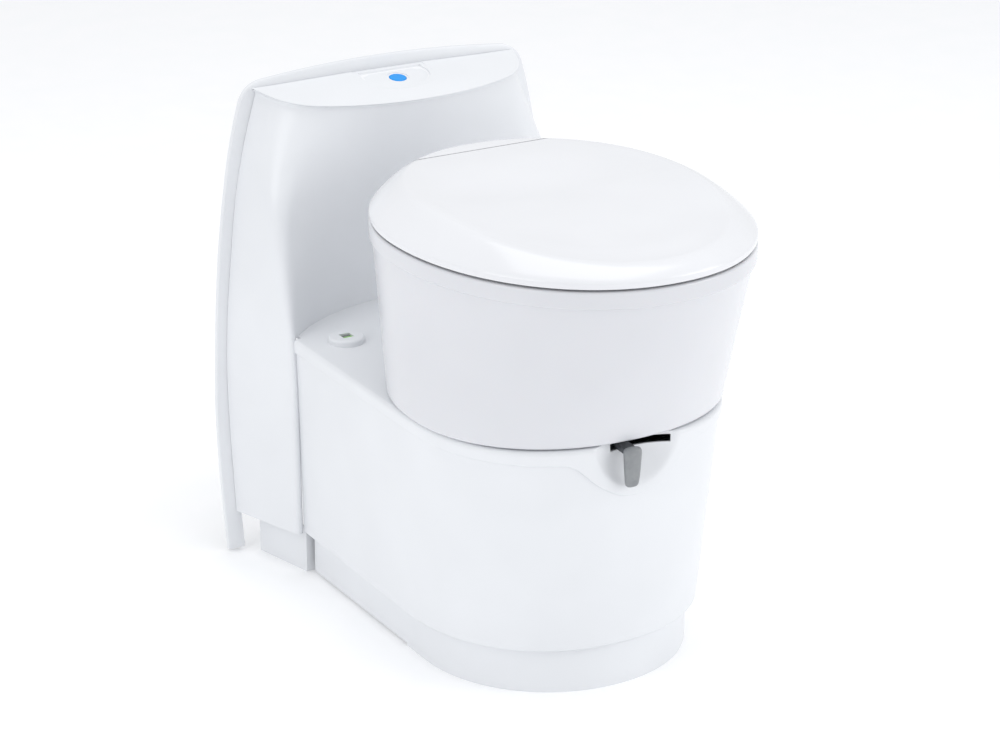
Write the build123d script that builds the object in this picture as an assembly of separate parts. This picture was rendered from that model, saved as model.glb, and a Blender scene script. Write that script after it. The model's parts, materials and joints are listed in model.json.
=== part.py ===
from build123d import *
import os
from math import copysign, cos, pi, radians, sin, sqrt

# Cassette toilet with a swivelling bowl, in millimetres.
# Frame: X to the user's right, -Y to the front, +Z up, z = 0 on the floor,
# x = 0 on the centre plane, y = 0 midway between the lid's nose and the wall seal.

# ---------------------------------------------------------------- driving sizes
wall = 3.2                     # moulded housing wall
gap = 0.3                      # gap between pieces that move past each other
run = 0.08                     # radial clearance of a pin or shaft in its bore
screw_r = 1.9                  # housing screws

# base housing, a tapered D in plan: nose at -Y, straight sides, open at the rear
deck_z = 286.0                 # top of the deck
deck_plate = 3.5
deck_band = 16.0               # height of the deck's outer band
deck_half = 171.0
deck_rear_half = 167.5
deck_front = -235.0
deck_shoulder = -56.0          # where the straight side meets the nose
deck_power = 2.5
skirt_z = 51.0                 # lower edge of the base housing
skirt_half = 164.5
skirt_rear_half = 161.5
skirt_front = -217.0
skirt_shoulder = -40.0
skirt_power = 2.2
base_rear = 202.5
plinth_half = 150.5
plinth_front = -210.0
plinth_shoulder = -58.0
plinth_rear = 198.5
plinth_toe_rear = -17.0        # the plinth stands on its toe, in front of this
plinth_lift = 3.0              # clearance under the plinth's sides
floor_top = 12.0               # top of the plinth's floor plate
floor_plate = 4.0
fixing_r = 2.75                # holes for the screws into the vehicle floor

# console behind the bowl, up to the wall flange
flange_front = 298.0
flange_thick = 6.0
seal_thick = 2.5
flange_back = flange_front + flange_thick
flange_bottom = 4.0
flange_wide = 220.0            # half-width at flange_wide_z
flange_wide_z = 180.0
flange_foot_half = 210.5
flange_corner_half = 177.2
flange_corner_z = 555.3
flange_top = 566.0
flange_corner_r = 24.0
flange_lip = 17.0              # width of the flange outside the console's wall
ledge_front = 214.0            # front edge of the sloping top, on the centre plane
ledge_front_z = 537.5
ledge_slope = 0.16
console_rear_edge = 279.0      # console front wall at deck height, centre plane
foot_half_front = 157.0        # rear foot, set in under the console
foot_half_rear = 176.0
foot_front = 206.5
foot_rear = 287.0
foot_return = 13.0

# bowl: foot and rim outlines, and the swivel
swivel_y = -78.5
foot_z = deck_z + 1.5
bowl_foot_half = 176.0
bowl_foot_front = 159.0
bowl_foot_rear = 176.0
bowl_foot_power = 2.2
rim_centre = -75.5
rim_half = 189.2
rim_front = 231.0
rim_rear = 207.3
rim_power = 2.09
rim_z = 475.0
rim_band = 18.0
rim_plate = 4.0
rim_inset = 3.0                # how far the bowl's wall is set in under the band
mouth_centre = -95.0
mouth_half = 118.0
mouth_front = 148.0
mouth_rear = 128.0
outlet_r = 45.0
outlet_wall = 3.0
outlet_step = 0.7              # small step where the funnel meets the outlet tube
hub_r = 96.0                   # swivel hub below the bowl
hub_wall = 6.0
bearing_r = 100.0
bearing_flange_r = 112.0
bearing_flange = 1.2
retainer_r = 110.0
retainer_thick = 4.0
hub_drop = 10.2                # hub below the deck's top

# seat, lid and hinge
hinge_y = 63.0
hinge_z = 500.0
pin_r = 4.0
barrel_r = 12.5
ear_r = 8.0
seat_ear_in = 29.0
seat_ear_out = 46.0
barrel_in = 49.0               # lid barrels, from here to barrel_half on each side
barrel_half = 76.0
post_width = 7.0
lid_gap = 2.5                  # lid's lower edge above the rim
lid_top_front = 497.0
lid_top_rear = 513.0
lid_inset = 22.0
lid_wall = 3.0
lid_side_reach = 14.3         # the lid's sides reach this far behind the hinge axis
lid_side_low = 13.0           # below this depth under the axis they slant forwards
lid_side_slant = 1.505
lid_sweep_r = 20.5
seat_bottom = rim_z + 3.5
seat_thick = 12.0
seat_inset = 11.0
seat_rear = 45.0
seat_hole_half = 105.0
seat_hole_front = 140.0
seat_hole_rear = 112.0

# flush button and panel on the sloping top
button_y = 266.6
button_r = 9.9
button_travel = 1.8
panel_half = 43.0
panel_front = 25.0             # front tip of the panel, from the button
panel_rear = 22.0
panel_thick = 1.6
board_drop = 14.6              # top of the circuit board, below the sloping top
board_thick = 1.6
board_screw_x = 24.0

# valve drive: handle ring, gear and cassette valve
module = 150.0 / 63.0
gear_teeth = 10
ring_teeth = 53
drive_x = module * (gear_teeth + ring_teeth) / 2
ring_z = 262.0
ring_thick = 6.0
handle_rest = -4.0             # handle's angle from the front, at rest
handle_travel = 16.0
slot_half = 46.0
mech_gap = 0.3
mech_plate = 4.5
mech_post_x = 125.0
dish_r = 92.5                  # finger dish round the handle
dish_depth = 16.0
tongue_drop = 61.0             # lowest point of the tongue below the deck
tongue_half = 84.0

# cassette
tank_half = 138.0
tank_front = -140.0
tank_rear = 245.0
tank_bottom = 44.0
tank_top = 236.0
tank_wall = 3.0
tank_corner = 40.0
valve_bore = 46.0
blade_r = 55.0
blade_z = tank_top + 4.8
blade_thick = 3.0
cover_z = 246.5                # valve cover plate, underside
cover_plate = 3.0
wheel_r = 22.0
wheel_y = -100.0
axle_r = 4.0
axle_z = 36.0
rail_in = 70.0
rail_out = 90.0

# flush valve in the console
valve_x = 138.0
valve_y = 275.0
valve_z = 340.0
valve_half = 13.0
coil_r = 13.0
inlet_r = 5.0
hose_x = valve_x - 20          # the hose runs down beside the cassette's spout
hose_z = deck_z - 13
hose_r = 6.5

# level indicator
gauge_x = -121.0
gauge_y = 169.0
gauge_r = 20.5
gauge_h = 7.0


# ---------------------------------------------------------------- helpers
def block(x0, x1, y0, y1, z0, z1):
    low = (Align.MIN, Align.MIN, Align.MIN)
    return Pos(x0, y0, z0) * Box(x1 - x0, y1 - y0, z1 - z0, align=low)


def rod(r, x, y, z0, z1):
    return Pos(x, y, (z0 + z1) / 2) * Cylinder(r, z1 - z0)


def rod_x(r, y, z, x0, x1):
    return Pos((x0 + x1) / 2, y, z) * Rot(0, 90, 0) * Cylinder(r, x1 - x0)


def rod_y(r, x, z, y0, y1):
    return Pos(x, (y0 + y1) / 2, z) * Rot(90, 0, 0) * Cylinder(r, y1 - y0)


def ring(outer, inner, x, y, z0, z1):
    return rod(outer, x, y, z0, z1) - rod(inner, x, y, z0 - 1, z1 + 1)


def bow(half, centre, depth, power):
    """Half of a superellipse, from x = -half to +half, bulging from y = centre by depth."""
    steps = 14
    points = []
    for i in range(steps + 1):
        a = pi * i / steps - pi / 2
        x = half * copysign(abs(sin(a)) ** (2 / power), a)
        y = centre + depth * abs(cos(a)) ** (2 / power)
        points.append((x, y))
    lead = (0, copysign(1, depth))
    return Spline(*points, tangents=[lead, (0, -lead[1])])


def oval(z, half, centre, front, rear, power_front=2.0, power_rear=2.0):
    """Closed egg-shaped wire at height z."""
    nose = bow(half, centre, -front, power_front)
    tail = bow(half, centre, rear, power_rear)
    return Pos(0, 0, z) * Wire([nose, tail])


def tapered_d(z, half, rear_half, front, shoulder, rear, power):
    """Closed D-shaped wire at height z: superellipse nose, straight sides and rear."""
    nose = bow(half, shoulder, front - shoulder, power)
    right = Line((half, shoulder), (rear_half, rear))
    back = Line((rear_half, rear), (-rear_half, rear))
    left = Line((-rear_half, rear), (-half, shoulder))
    return Pos(0, 0, z) * Wire([nose, right, back, left])


def loft_wires(*wires):
    return Part() + Solid.make_loft(list(wires), True)


def mirrored(part):
    return part + mirror(part, about=Plane.YZ)


def path_tube(points, radii, outer, inner):
    """Pipe along straight runs joined by tangent arcs."""
    path = FilletPolyline(*points, radius=radii)
    section = Circle(outer) - Circle(inner) if inner else Circle(outer)
    start = Plane(origin=path @ 0, z_dir=path % 0)
    return sweep(start * section, path=path)


def coil(x, y, z0, z1, r, wire, turns):
    """Compression spring of round wire with its axis along Z."""
    height = z1 - z0 - 2 * wire
    line = Helix(pitch=height / turns, height=height, radius=r)
    start = Plane(origin=line @ 0, z_dir=line % 0)
    return Pos(x, y, z0 + wire) * sweep(start * Circle(wire), path=line)


def gear_tooth(pitch_r, angle, tip=0.85, root=1.1):
    """One trapezoid tooth on a pitch circle round the origin, as a face."""
    half_pitch = pi * module / 2
    base = 0.425 * half_pitch + root * module * 0.30
    top = 0.425 * half_pitch - tip * module * 0.34
    r0 = pitch_r - root * module - 0.6
    r1 = pitch_r + tip * module
    shape = Polygon((r0, -base), (r1, -top), (r1, top), (r0, base), align=None)
    return Rot(0, 0, angle) * shape


def base_wire(z, inset):
    """Outline of the base housing at height z, between skirt and deck."""
    t = (z - skirt_z) / (deck_z - skirt_z)
    mix = lambda low, high: low + (high - low) * t
    return tapered_d(z, mix(skirt_half, deck_half) - inset,
                     mix(skirt_rear_half, deck_rear_half) - inset,
                     mix(skirt_front, deck_front) + inset,
                     mix(skirt_shoulder, deck_shoulder), base_rear,
                     mix(skirt_power, deck_power))


def base_body(z0, z1, inset, rear_extra=0.0):
    body = loft_wires(base_wire(z0, inset), base_wire(z1, inset))
    if rear_extra:
        half = min(skirt_rear_half, deck_rear_half) - inset
        body += block(-half, half, base_rear - 5, base_rear + rear_extra, z0, z1)
    return body


def tongue_prism(inset):
    """Region of the deck's tongue, as a prism along Y: an arc with S-shaped shoulders."""
    low = deck_z - tongue_drop + inset
    band = deck_z - deck_band
    waist = tongue_half * 0.66 - inset
    top = band + 20
    right = Spline((0, low), (waist * 0.55, low + 8), (waist, low + 28), (tongue_half - inset, band),
                   tangents=[(1, 0), (1, 0.02)])
    left = mirror(right, about=Plane.YZ)
    edges = [right, Line((tongue_half - inset, band), (tongue_half - inset, top)),
             Line((tongue_half - inset, top), (inset - tongue_half, top)),
             Line((inset - tongue_half, top), (inset - tongue_half, band)), left]
    face = make_face(edges)
    return extrude(Plane.XZ * face, amount=-deck_front + 60)


def console_wire(z, inset):
    """Outline of the console at height z: concave low down, bowed forward at the top."""
    heights = (skirt_z, deck_z, 420.0, 480.0, 530.0, 575.0)
    at_flange = (199.0, 203.5, 188.5, 176.5, 163.0, 148.0)
    at_corner = (167.5, 171.0, 174.0, 161.0, 145.0, 129.0)
    corner_y = (base_rear, base_rear + 0.5, 219.0, 235.0, 247.0, 254.0)
    middle_y = (console_rear_edge, console_rear_edge, 250.0, 232.0, ledge_front, 205.0)
    i = heights.index(z)
    a = at_flange[i] - inset
    b = at_corner[i] - inset
    c = corner_y[i] + inset * 0.8
    m = middle_y[i] + inset
    rear = flange_front + (1 if not inset else 12)
    front = ThreePointArc((-b, c), (0, m), (b, c))
    right = Line((b, c), (a, rear))
    back = Line((a, rear), (-a, rear))
    left = Line((-a, rear), (-b, c))
    return Pos(0, 0, z) * Wire([front, right, back, left])


def console_body(inset):
    heights = (skirt_z, deck_z, 420.0, 480.0, 530.0, 575.0)
    return loft_wires(*[console_wire(z, inset) for z in heights])


def ledge_cut(drop):
    """Everything above the console's sloping top, lowered by drop."""
    angle = 9.09
    slab = Pos(0, 0, 60) * Box(700, 400, 120)
    return Pos(0, ledge_front, ledge_front_z - drop) * Rot(angle, 0, 0) * slab


ledge = Plane(origin=(0, button_y, ledge_front_z + ledge_slope * (button_y - ledge_front)),
              x_dir=(1, 0, 0), z_dir=(0, -sin(radians(9.09)), cos(radians(9.09))))


def flange_face(inset):
    """Flange outline in the XZ plane: barrel sides, nearly flat top, rounded corners."""
    s = inset
    side = ThreePointArc((flange_foot_half - s, flange_bottom), (flange_wide - s, flange_wide_z),
                         (flange_corner_half - s, flange_corner_z - s))
    top = ThreePointArc((flange_corner_half - s, flange_corner_z - s), (0, flange_top - s),
                        (s - flange_corner_half, flange_corner_z - s))
    other = mirror(side, about=Plane.YZ)
    foot = Line((s - flange_foot_half, flange_bottom), (flange_foot_half - s, flange_bottom))
    face = make_face([side, top, other, foot])
    corners = [v for v in face.vertices() if v.Y > flange_corner_z - s - 5]
    return fillet(corners, flange_corner_r)


# ---------------------------------------------------------------- fixed housing
def make_base_shell():
    top = deck_z - deck_band
    shell = base_body(skirt_z, top, 0) - base_body(skirt_z - 1, top + 1, wall, 20)
    shell -= tongue_prism(0) & block(-200, 200, -300, -100, 0, 400)
    for x, y in deck_screw_places():
        lug = block(abs(x), base_half_at(y) - wall / 2, y - 8, y + 8, top - 8, top)
        lug = (lug if x > 0 else mirror(lug, about=Plane.YZ)) + rod(8, x, y, top - 8, top)
        shell += lug - rod(screw_r + 0.3, x, y, top - 20, top + 5)
    return shell


def base_half_at(y):
    """Half-width of the base housing near its top, beside y."""
    return deck_half if y < 0 else deck_rear_half


def deck_screw_places():
    return [(-152, -30), (152, -30), (-150, 150), (150, 150)]


def screw(x, y, seat):
    """Housing screw driven upwards, its head under the height seat."""
    return rod(screw_r, x, y, seat, seat + 17) + rod(4.0, x, y, seat - 2.6, seat)


def make_housing_screws():
    screws = Part()
    for x, y in deck_screw_places():
        screws += screw(x, y, deck_z - deck_band - 8)
    for x, y in console_screw_places():
        screws += screw(x, y, deck_z - deck_plate)
    for x in (-mech_post_x, mech_post_x):
        screws += screw(x, swivel_y, ring_z - mech_gap - mech_plate)
    return screws


def make_deck_cover():
    band_low = deck_z - deck_band
    outer = base_body(band_low, deck_z, -0.6)
    deck = outer - base_body(band_low - 1, deck_z - deck_plate, wall, 20)
    deck += block(-160, 160, base_rear - 4, 290, deck_z - deck_plate, deck_z)
    for x, y in deck_screw_places():
        deck += rod(5, x, y, band_low, deck_z - 1) - rod(screw_r, x, y, band_low - 1, band_low + 9)
    front_box = block(-200, 200, -300, -150, band_low - 80, deck_z)
    low_wall = base_body(skirt_z, deck_z, -0.6) - base_body(skirt_z - 1, deck_z + 1, wall, 20)
    dish = Pos(0, deck_front + dish_depth - dish_r, deck_z - 1) * Sphere(dish_r)
    backing = Pos(0, deck_front + dish_depth - dish_r, deck_z - 1) * Sphere(dish_r + wall)
    solid_nose = base_body(skirt_z, deck_z, -0.6) & front_box
    tongue = low_wall & tongue_prism(0) & front_box
    tongue += solid_nose & backing & tongue_prism(0)
    deck = deck + tongue - dish
    deck -= block(-slot_half, slot_half, -300, -190, ring_z + 11, deck_z - deck_plate)
    deck -= rod(bearing_r, 0, swivel_y, deck_z - 30, deck_z + 5)
    for x, y in console_screw_places():
        deck -= rod(screw_r + 0.3, x, y, deck_z - 10, deck_z + 1)
    return deck - rod(hose_r + 3, hose_x, valve_y, deck_z - 10, deck_z + 1)


def make_base_plinth():
    outer = loft_wires(plinth_wire(0, 0), plinth_wire(skirt_z + 6, 0))
    inner = loft_wires(plinth_wire(-1, wall), plinth_wire(skirt_z + 7, wall))
    plinth = outer - inner - block(-140, 140, plinth_rear - 10, plinth_rear + 5, -1, 80)
    plinth += (inner & block(-200, 200, -300, plinth_rear, floor_top - floor_plate, floor_top))
    plinth -= block(-200, 200, plinth_toe_rear, 300, -1, plinth_lift)
    top = skirt_z + 6
    seat = base_wire(skirt_z, wall)
    link = loft_wires(seat, Pos(0, 0, 4) * seat) & block(-200, 200, -300, plinth_rear, 0, 100)
    link -= loft_wires(plinth_wire(skirt_z - 1, 1), plinth_wire(skirt_z + 8, 1))
    link -= block(-140, 140, plinth_rear - 40, 300, 0, 100)
    plinth += link
    for x, y in floor_screw_places()[:2]:
        plinth += rod(12, x, y, 0, floor_top)
        plinth -= rod(fixing_r, x, y, -1, floor_top + 1)
    return plinth & block(-200, 200, -300, 300, 0, top)


def plinth_wire(z, inset):
    return tapered_d(z, plinth_half - inset, plinth_half - inset, plinth_front + inset,
                     plinth_shoulder, plinth_rear, 2.05)


def floor_screw_places():
    return [(-110, -120), (110, -120), (-110, 250), (110, 250)]


def make_rear_foot():
    high = skirt_z + 4
    foot = Part()
    slope = (foot_half_rear - foot_half_front) / (foot_rear - foot_front)
    outer = [(foot_half_front, foot_front), (foot_half_rear, foot_rear)]
    inner = [(foot_half_rear - wall, foot_rear), (foot_half_front - wall + slope * wall, foot_front + wall),
             (foot_half_front - foot_return, foot_front + wall), (foot_half_front - foot_return, foot_front)]
    side = extrude(make_face(Polyline(*outer, *inner, close=True)), amount=high)
    foot += mirrored(side)
    foot += block(-foot_half_front + 2, foot_half_front - 2, foot_front, foot_rear, 0, floor_plate)
    for x, y in floor_screw_places()[2:]:
        foot -= rod(fixing_r, x, y, -1, floor_plate + 1)
    return foot


def console_screw_places():
    return [(-128, 248.5), (128, 248.5), (-60, 278), (60, 278)]


def make_console_shell():
    shell = console_body(0) - console_body(wall) - ledge_cut(0)
    roof = (console_body(wall - 0.2) - ledge_cut(0)) & ledge_cut(wall)
    shell = (shell + roof) & block(-300, 300, 150, flange_front, skirt_z, 600)
    shell -= block(-163, 163, 150, 290, skirt_z - 5, deck_z)
    bay = Plane.XZ * flange_face(flange_lip + wall)
    frame = extrude(Plane.XZ * flange_face(0), amount=-flange_thick)
    frame -= extrude(bay, amount=-flange_thick)
    shell += Pos(0, flange_front, 0) * frame
    for x, y in console_screw_places():
        rib = block(x - 2, x + 2, y - 20, y, deck_z, deck_z + 20) & console_body(1.0)
        shell += rib + rod(5.5, x, y, deck_z, deck_z + 20) - rod(screw_r, x, y, deck_z - 1, deck_z + 14)
    pocket = panel_outline(0.6)
    shell -= ledge * Pos(0, 0, -0.8) * extrude(pocket, amount=10)
    shell -= ledge * Pos(0, 0, -5) * Cylinder(button_r + 2.6, 20)
    post = Pos(board_screw_x, 0, -(board_drop + 3) / 2) * Cylinder(3, board_drop - 3)
    shell += ledge * mirrored(post - Pos(board_screw_x, 0, -board_drop) * Cylinder(1.4, 7.2))
    valve_pad = block(valve_x - 20, valve_x + 20, 230, valve_y - valve_half, valve_z - 8, valve_z + 8)
    shell += valve_pad & console_body(1.0)
    return shell


def panel_outline(margin):
    half = panel_half + margin
    nose = bow(half, 8, -(panel_front + 8 + margin), 2.2)
    rear = panel_rear + margin
    sides = [Line((half, 8), (half - 3, rear)), Line((half - 3, rear), (3 - half, rear)),
             Line((3 - half, rear), (-half, 8))]
    return make_face([nose, *sides])


def make_wall_seal():
    seal = extrude(Plane.XZ * flange_face(3), amount=-seal_thick)
    seal -= extrude(Plane.XZ * flange_face(flange_lip - 2), amount=-seal_thick)
    seal -= block(-150, 150, -50, 50, -10, 40)
    return Pos(0, flange_back, 0) * seal


def make_control_panel():
    plate = Pos(0, 0, -0.8) * extrude(panel_outline(0), amount=panel_thick)
    guide = Pos(0, 0, -5) * Cylinder(button_r + 2.4, 9)
    bore = Cylinder(button_r + gap, 30)
    return ledge * (plate + guide - bore)


def make_flush_button():
    cap = Pos(0, 0, -3.0) * Cylinder(button_r, 9.0)
    cap = fillet(cap.edges().sort_by(Axis.Z)[-1], 1.2)
    return ledge * (cap + Pos(0, 0, -8.5) * Cylinder(2.5, 2.0))


def make_button_spring():
    return ledge * coil(0, 0, 0.1 - board_drop, -7.6, 6.5, 0.4, 3)


def make_control_board():
    board = Pos(0, 0, -board_drop - board_thick / 2) * Box(62, 30, board_thick)
    for x in (-board_screw_x, board_screw_x):
        board -= Pos(x, 0, -board_drop) * Cylinder(1.5, 10)
    return ledge * board


def make_push_switch():
    body = Pos(0, 0, 1.3 - board_drop) * Box(7, 7, 2.6)
    return ledge * (body + Pos(0, 0, 2.95 - board_drop) * Cylinder(1.8, 0.7))


def make_board_screws():
    screws = Part()
    for x in (-board_screw_x, board_screw_x):
        screws += Pos(x, 0, -board_drop) * Cylinder(1.4, 2 * board_thick)
        screws += Pos(x, 0, -board_drop - board_thick - 1) * Cylinder(2.8, 2.0)
    return ledge * screws


def make_solenoid_valve():
    body = Pos(valve_x, valve_y, valve_z) * Box(56, 2 * valve_half, 2 * valve_half)
    rear = valve_y + valve_half
    inlet = rod_y(inlet_r, valve_x + 20, valve_z, rear, rear + 18)
    outlet = rod(4.5, hose_x, valve_y, valve_z - valve_half - 12, valve_z - valve_half)
    return body + inlet + outlet - rod_y(3.0, valve_x + 20, valve_z, rear - 10, rear + 20)


def make_solenoid_coil():
    case = rod(coil_r, valve_x, valve_y, valve_z + valve_half, valve_z + valve_half + 34)
    return case + Pos(valve_x, valve_y + 15, valve_z + 40) * Box(12, 8, 8)


def make_flush_hose():
    top = valve_z - valve_half - 2
    points = [(hose_x, valve_y, top), (hose_x, valve_y, hose_z), (hose_x, 60, hose_z), (36, 46, hose_z)]
    return path_tube(points, [16, 18], hose_r, 4.6)


def make_wiring_loom():
    board = (ledge * Pos(10, 8, -board_drop - board_thick)).position
    below = (ledge * Pos(10, 8, -32)).position
    x = valve_x
    y = valve_y + 17
    z = valve_z + 44
    points = [board, below, (45, 280, 475), (x, y, 440), (x, y, z)]
    return path_tube(points, [12, 20, 20], 2.0, 0)


def make_hose_clamps():
    clamp = ring(8.0, hose_r, hose_x, valve_y, valve_z - valve_half - 11, valve_z - valve_half - 5)
    clip = block(hose_x - 8, hose_x + 8, 150, 158, hose_z - 7, deck_z - deck_plate)
    return clamp + (clip - rod_y(hose_r, hose_x, hose_z, 140, 170))


def make_fuse_holder():
    top = deck_z - deck_plate
    return block(134, 156, 212, 240, top - 24, top) + rod(8, 145, 226, top - 30, top - 24)


def make_level_housing():
    body = rod(gauge_r, gauge_x, gauge_y, deck_z, deck_z + gauge_h)
    body = fillet(body.edges().sort_by(Axis.Z)[-1], 3.0)
    body -= rod(gauge_r - 3.5, gauge_x, gauge_y, deck_z - 1, deck_z + gauge_h - 2.2)
    return body - gauge_window(0)


def gauge_window(inset):
    half = 6.5 - inset
    return block(gauge_x - half, gauge_x + half, gauge_y - half, gauge_y + half, deck_z + 1, deck_z + 12)


def make_level_lens():
    return gauge_window(0) & block(-200, 0, 0, 300, deck_z + gauge_h - 2.0, deck_z + gauge_h - 0.6)


def make_level_dial():
    dial = rod(gauge_r - 5.5, gauge_x, gauge_y, deck_z + 1.6, deck_z + 3.2)
    return dial + rod(2.0, gauge_x, gauge_y, deck_z + 0.3, deck_z + 1.6)


def make_swivel_bearing():
    sleeve = ring(bearing_r, hub_r + run, 0, swivel_y, deck_z - hub_drop + 0.5, deck_z)
    return sleeve + ring(bearing_flange_r, hub_r + run, 0, swivel_y, deck_z, deck_z + bearing_flange)



def make_mechanism_plate():
    low = ring_z - mech_gap - mech_plate
    high = ring_z - mech_gap
    plate = block(-mech_post_x - 8, mech_post_x + 8, swivel_y - 13, swivel_y + 13, low, high)
    plate += rod(58, 0, swivel_y, low, high)
    plate -= rod(outlet_r + outlet_wall + 1.5, 0, swivel_y, low - 1, high + 1)
    plate += ring(outlet_r + outlet_wall + 4.0, outlet_r + outlet_wall + 1.5, 0, swivel_y, low, high + 5.5)
    for x in (-mech_post_x, mech_post_x):
        plate += rod(6, x, swivel_y, high, deck_z - deck_plate)
        plate -= rod(screw_r, x, swivel_y, low - 1, low + 17)
    return plate - rod(axle_r + run, drive_x, swivel_y, low - 1, high + 1)


def make_cassette_rails():
    rail = block(rail_in, rail_out, tank_front + 10, plinth_rear, floor_top, tank_bottom)
    rail += block(rail_in, rail_out, foot_front, foot_rear, floor_plate, tank_bottom)
    rail += block(rail_in, rail_out, plinth_rear, foot_front, floor_top, tank_bottom)
    return mirrored(rail)


def make_cassette_stop():
    """Bumper at the front of the bay that the cassette comes to rest against."""
    plate = block(-40, 40, tank_front - 12, tank_front - 6, floor_top, 90)
    pads = mirrored(block(20, 34, tank_front - 6, tank_front - 0.5, 60, 84))
    foot = block(-40, 40, tank_front - 12, tank_front + 4, floor_top, floor_top + 4)
    return plate + pads + foot


# ---------------------------------------------------------------- bowl
def make_bowl_shell():
    rim_low = rim_z - rim_band
    foot = oval(foot_z + 4, bowl_foot_half, swivel_y, bowl_foot_front, bowl_foot_rear, bowl_foot_power)
    head = rim_wire(rim_low, rim_inset)
    tuck = oval(foot_z, bowl_foot_half - 3, swivel_y, bowl_foot_front - 3, bowl_foot_rear - 3,
                bowl_foot_power)
    outer = loft_wires(foot, head) + loft_wires(tuck, foot)
    w = wall
    foot_in = oval(foot_z + w, bowl_foot_half - w - 1.5, swivel_y, bowl_foot_front - w - 1.5,
                   bowl_foot_rear - w - 1.5, bowl_foot_power)
    head_in = rim_wire(rim_low, rim_inset + w)
    inner = loft_wires(foot_in, head_in)
    shell = outer - inner
    hub_low = deck_z - hub_drop
    shell += ring(hub_r, hub_r - hub_wall, 0, swivel_y, hub_low, foot_z + 1)
    shell -= rod(outlet_r + outlet_wall + 0.5, 0, swivel_y, foot_z - 5, foot_z + 8)
    shell -= rod(7.0, 0, swivel_y + 70, foot_z - 5, foot_z + 8)
    for x, y in retainer_screw_places():
        shell -= rod(1.6, x, y, hub_low - 1, hub_low + 9)
    return shell


def retainer_screw_places():
    r = hub_r - hub_wall / 2
    return [(r * cos(radians(a)), swivel_y + r * sin(radians(a))) for a in range(30, 390, 60)]


def rim_wire(z, inset):
    return oval(z, rim_half - inset, rim_centre, rim_front - inset, rim_rear - inset,
                rim_power, rim_power)


def mouth_wire(z, grow):
    """Inside of the bowl at height z, from the mouth down to the outlet."""
    heights = (rim_z + 1, 440.0, 380.0, 330.0, 300.0)
    share = (1.0, 0.96, 0.78, 0.36, 0.0)
    s = share[heights.index(z)]
    grow += outlet_step
    half = outlet_r + (mouth_half - outlet_r) * s + grow
    centre = swivel_y + (mouth_centre - swivel_y) * s
    front = outlet_r + (mouth_front - outlet_r) * s + grow
    rear = outlet_r + (mouth_rear - outlet_r) * s + grow
    return oval(z, half, centre, front, rear)


def make_bowl_insert():
    heights = (rim_z + 1, 440.0, 380.0, 330.0, 300.0)
    low = cover_z + cover_plate + 2.0
    outer = loft_wires(*[mouth_wire(z, outlet_wall) for z in heights])
    inner = loft_wires(*[mouth_wire(z, 0) for z in heights])
    plate = loft_wires(rim_wire(rim_z - rim_plate, 0), rim_wire(rim_z, 0))
    band = loft_wires(rim_wire(rim_z - rim_band, 0), rim_wire(rim_z, 0))
    band -= loft_wires(rim_wire(rim_z - rim_band - 1, rim_inset), rim_wire(rim_z - rim_plate, rim_inset))
    body = plate + band + (outer & block(-200, 200, -320, 150, 290, rim_z))
    body += rod(outlet_r + outlet_wall, 0, swivel_y, low, heights[-1] + 2)
    body -= inner
    body -= rod(outlet_r, 0, swivel_y, low - 1, heights[-1] + 2)
    body -= rod_y(4.5, 0, nozzle_z, 0, 60)
    return body


nozzle_z = 458.0
nozzle_rear = 28.0


def make_flush_nozzle():
    fan = block(-20, 20, nozzle_rear - 14, nozzle_rear, nozzle_z - 7, nozzle_z + 7)
    fan -= block(-17, 17, nozzle_rear - 16, nozzle_rear - 5, nozzle_z - 4, nozzle_z + 4)
    pipe = rod_y(4.3, 0, nozzle_z, nozzle_rear, nozzle_rear + 18)
    return fan + pipe - rod_y(2.8, 0, nozzle_z, nozzle_rear - 8, nozzle_rear + 20)


def make_bowl_hose():
    start = nozzle_rear + 8
    points = [(0, start, nozzle_z), (0, 72, nozzle_z), (0, 72, 320), (0, swivel_y + 70, 318),
              (0, swivel_y + 70, foot_z - 8)]
    return path_tube(points, [20, 24, 24], 6.4, 4.4)


def make_swivel_retainer():
    top = deck_z - hub_drop
    plate = ring(retainer_r, hub_r - 12, 0, swivel_y, top - retainer_thick, top)
    for x, y in retainer_screw_places():
        plate -= rod(1.8, x, y, top - 10, top + 1)
    return plate


def make_retainer_screws():
    top = deck_z - hub_drop - retainer_thick
    screws = Part()
    for x, y in retainer_screw_places():
        screws += rod(1.6, x, y, top, top + retainer_thick + 8)
        screws += rod(3.2, x, y, top - 2.2, top)
    return screws


def make_hinge_bracket():
    bracket = block(-88, 88, hinge_y - 12, hinge_y + 14, rim_z, rim_z + 3.5)
    for x in (seat_ear_in - 3 - post_width, barrel_half + 2):
        post = block(x, x + post_width, hinge_y - 6, hinge_y + 6, rim_z, hinge_z)
        bracket += mirrored(post + rod_x(6, hinge_y, hinge_z, x, x + post_width))
    return bracket - rod_x(pin_r, hinge_y, hinge_z, -120, 120)


def make_hinge_pins():
    return mirrored(rod_x(pin_r, hinge_y, hinge_z, seat_ear_in - 5 - post_width, barrel_half + 2 + post_width))


def lid_body(inset, low, drop):
    """Outside of the lid and hinge cover: rim outline below, sloping crest outline above."""
    top = Plane(origin=(0, -288, lid_top_front - drop), x_dir=(1, 0, 0),
                z_dir=(0, -(lid_top_rear - lid_top_front) / 398.0, 1))
    shift = 288
    side = inset + lid_inset
    nose = bow(rim_half - side, rim_centre + shift, side - rim_front, 2.05)
    tail = bow(rim_half - side, rim_centre + shift, rim_rear - side, 2.05)
    crest = top * Wire([nose, tail])
    mid_z = rim_z + lid_gap + 8
    sections = [rim_wire(low, inset + 2), rim_wire(mid_z, inset), crest]
    return loft_wires(*sections)


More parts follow.
